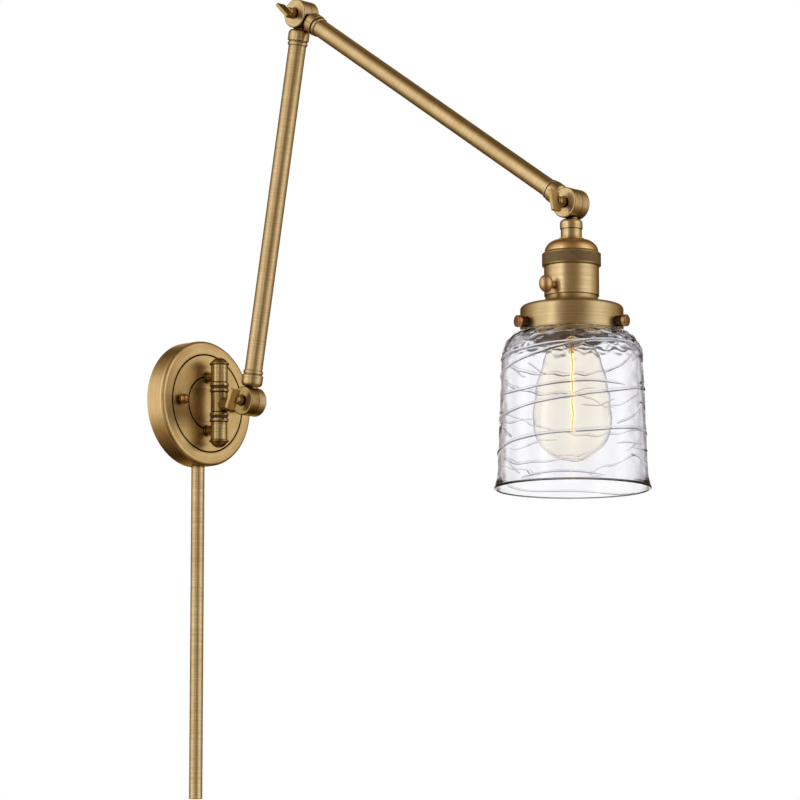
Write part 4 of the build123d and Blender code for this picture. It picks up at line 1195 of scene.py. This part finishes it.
@dataclass
class Studio:
    """White studio with a pale floor, soft lamps and the photograph's camera.

    Attributes:
        azimuth: turn of the line of sight from straight at the wall, in degrees.
        elevation: how far it looks up, in degrees.
        focal_px: focal length in pixels of the image.
        anchor: point in the lamp's frame that fixes the camera's place, in metres.
        anchor_px: pixel where that point is seen.
        depth: distance of that point along the line of sight.
        target: point that the soft lamps are turned to.
        ambient: colour of the world for all that is neither shiny nor clear, as sRGB hex.
        panels: white panels round the studio that glass shows.
        panel_span: part of the panels' cosine that goes from the gaps' grey to white.
        band: colour of the dark band that glass shows behind the lamp, as a black card there would.
        band_span: angles from the line of sight at which it starts and ends to pale, in degrees.
    """

    azimuth: float = 47.61
    elevation: float = 8.5
    focal_px: float = 4200.0
    anchor: Point = (0.0, -0.019, 0.0)
    anchor_px: Span = (207.53, 403.39)
    depth: float = 3.6577
    sensor_mm: float = 36.0
    clip_end: float = 100.0
    floor_z: float = -0.75
    floor_size: float = 14.0
    target: Point = (0.0, -0.25, 0.0)
    ambient: str = "#f2f2f4"
    gloss_strength: float = 1.2
    panels: float = 8.0
    panel_span: Span = (-0.55, 0.5)
    panel_gap: str = "#a9a7b1"
    band: str = "#45434d"
    band_span: Span = (14.0, 24.0)
    bounces: int = 28
    glossy_bounces: int = 10

    def sight(self) -> tuple[Vector, Vector, Vector]:
        """Directions of the camera.

        Returns:
            Forward, right and up.
        """
        turn, lift = math.radians(self.azimuth), math.radians(self.elevation)
        forward = Vector((math.sin(turn) * math.cos(lift), math.cos(turn) * math.cos(lift), math.sin(lift)))
        right = Vector((math.cos(turn), -math.sin(turn), 0.0))
        return forward, right, right.cross(forward)

    def add_camera(self) -> None:
        """Sets the camera so that the anchor lies at its pixel and depth."""
        forward, right, up = self.sight()
        across, down = ((pixel - IMAGE_PX / 2) / self.focal_px for pixel in self.anchor_px)
        place = Vector(self.anchor) - self.depth * (forward + across * right - down * up)
        data = bpy.data.cameras.new("camera")
        data.sensor_width = self.sensor_mm
        data.lens = self.focal_px / IMAGE_PX * self.sensor_mm
        data.clip_end = self.clip_end
        camera = bpy.data.objects.new("camera", data)
        turn = Matrix((right, up, -forward)).transposed().to_4x4()
        camera.matrix_world = Matrix.Translation(place) @ turn
        bpy.context.scene.collection.objects.link(camera)
        bpy.context.scene.camera = camera

    def add_world(self) -> None:
        """Makes the world: white to the camera, and a studio of soft boxes and dark gaps in gloss and glass.

        Each direction has a turn from the line of sight and a lift above the horizon. Gloss sees soft
        boxes to the left and right of the camera with a dimmer gap between them. Glass sees white straight
        behind it, a dark band a little above that, and grey gaps between white panels on all sides.
        """
        world = bpy.data.worlds.new("studio")
        bpy.context.scene.world = world
        world.use_nodes = True
        tree = world.node_tree
        ray = add_node(tree, "LightPath").node.outputs
        turned = {
            "Vector": add_node(tree, "TexCoord", out="Generated"),
            "Rotation": (0.0, 0.0, math.radians(self.azimuth)),
        }
        towards = add_node(tree, "SeparateXYZ", (add_node(tree, "Mapping", turned),)).node.outputs
        behind = add_node(tree, "Math", (towards["X"], towards["Y"]), operation="ARCTAN2")
        turn = add_node(tree, "MapRange", (behind, -HALF_TURN, HALF_TURN))
        height = add_node(tree, "Math", (towards["Z"],), operation="ARCSINE")
        lift = add_node(tree, "MapRange", (height, -QUARTER_TURN, QUARTER_TURN))
        boxes = add_node(tree, "ValToRGB", (turn,), stops=GLOSS_TURNS)
        tall = add_node(tree, "ValToRGB", (lift,), stops=GLOSS_LIFTS)
        both = {FACTOR: 1.0, FIRST: boxes, SECOND: tall}
        gloss = add_node(tree, "Mix", both, MIXED, data_type="RGBA", blend_type="MULTIPLY")
        round_by = add_node(tree, "Math", (behind, self.panels), operation="MULTIPLY")
        wave = add_node(tree, "Math", (round_by,), operation="COSINE")
        white = add_node(tree, "MapRange", (wave, *self.panel_span))
        panelled = {FACTOR: white, FIRST: linear(self.panel_gap), SECOND: WHITE}
        panel = add_node(tree, "Mix", panelled, MIXED, data_type="RGBA")
        banded = [(at, self.band if at in GLASS_BAND else code) for at, code in GLASS_LIFTS]
        middle = add_node(tree, "ValToRGB", (lift,), stops=banded)
        sides = add_node(tree, "ValToRGB", (lift,), stops=GLASS_LIFTS)
        off_line = add_node(tree, "Math", (behind,), operation="ABSOLUTE")
        aside = add_node(tree, "MapRange", (off_line, *(math.radians(angle) for angle in self.band_span)))
        spread = {FACTOR: aside, FIRST: middle, SECOND: sides}
        band = add_node(tree, "Mix", spread, MIXED, data_type="RGBA")
        both = {FACTOR: 1.0, FIRST: panel, SECOND: band}
        through = add_node(tree, "Mix", both, MIXED, data_type="RGBA", blend_type="MULTIPLY")
        light = add_node(tree, "Background", {"Color": linear(self.ambient), "Strength": 1.0})
        for path, colour, strength in (
            ("Is Glossy Ray", gloss, self.gloss_strength),
            ("Is Transmission Ray", through, 1.0),
            ("Is Camera Ray", WHITE, 1.0),
        ):
            seen = add_node(tree, "Background", {"Color": colour, "Strength": strength})
            light = add_node(tree, "MixShader", (ray[path], light, seen))
        connect(tree, tree.nodes["World Output"], {"Surface": light})

    def add_lamps(self) -> None:
        """Hangs three soft boxes, which light what isn't shiny, and a strip that the near brass shows."""
        forward, right, up = self.sight()
        for lamp in (
            SoftLamp("box_left", (1.4, 1.4), 4.0, self.target, (-1.6, -1.5, 0.8)),
            SoftLamp("box_right", (1.4, 1.4), 3.5, self.target, (-1.4, 1.7, 0.6)),
            SoftLamp("box_over", (1.8, 1.8), 6.0, (0.0, -0.65, 2.2)),
            SoftLamp("strip_near", (0.12, 1.1), 0.5, (0.0, POST_OUT, 0.12), (-0.77, -0.21, 0.0), True),
        ):
            ahead, aside, above = lamp.moved
            place = Vector(lamp.start) + ahead * forward + aside * right + above * up
            data = bpy.data.lights.new(lamp.name, "AREA")
            data.shape = "RECTANGLE"
            data.size, data.size_y = lamp.size
            data.energy = lamp.power
            hung = bpy.data.objects.new(lamp.name, data)
            hung.location = place
            hung.rotation_mode = "QUATERNION"
            hung.rotation_quaternion = (Vector(self.target) - place).to_track_quat("-Z", "Y")
            hung.visible_camera = False
            hung.visible_glossy = lamp.in_gloss
            hung.visible_transmission = False
            bpy.context.scene.collection.objects.link(hung)

    def add_floor(self) -> None:
        """Lays the pale floor, which is clear from below and leaves the gloss to the studio's world."""
        half = self.floor_size / 2
        corners = [(-half, -half), (half, -half), (half, half), (-half, half)]
        mesh = bpy.data.meshes.new("floor")
        mesh.from_pydata([(x, y, self.floor_z) for x, y in corners], [], [(0, 1, 2, 3)])
        material = PAINT.make()
        tree = material.node_tree
        paint = tree.nodes["Principled BSDF"].outputs[0]
        below = add_node(tree, "NewGeometry", out="Backfacing")
        seen = add_node(tree, "MixShader", (below, paint, add_node(tree, "BsdfTransparent")))
        connect(tree, tree.nodes["Material Output"], {"Surface": seen})
        mesh.materials.append(material)
        floor = bpy.data.objects.new("floor", mesh)
        floor.visible_glossy = False
        bpy.context.scene.collection.objects.link(floor)

    def build(self) -> None:
        """Sets up the camera, the world, the lamps and the floor."""
        bpy.context.scene.view_settings.view_transform = "Standard"
        # Light in the fitter passes the neck, the bell and the bulb many times before it leaves
        bpy.context.scene.cycles.max_bounces = self.bounces
        bpy.context.scene.cycles.transmission_bounces = self.bounces
        bpy.context.scene.cycles.glossy_bounces = self.glossy_bounces
        self.add_camera()
        self.add_world()
        self.add_lamps()
        self.add_floor()


def main() -> None:
    """Builds the studio, dresses the solids and makes the fine pieces."""
    logging.basicConfig(level=logging.INFO, format="%(message)s")
    Studio().build()
    head = LampHead()
    lower = Arm("lower_arm", LOWER_AXIS, ("base", "elbow"))
    upper = Arm("upper_arm", UPPER_AXIS, ("elbow", "head"))
    for part in (WallMount(), lower, upper, Keys(), head):
        part.dress()
    head.build()
    bpy.context.view_layer.update()


if __name__ == "__main__":
    main()
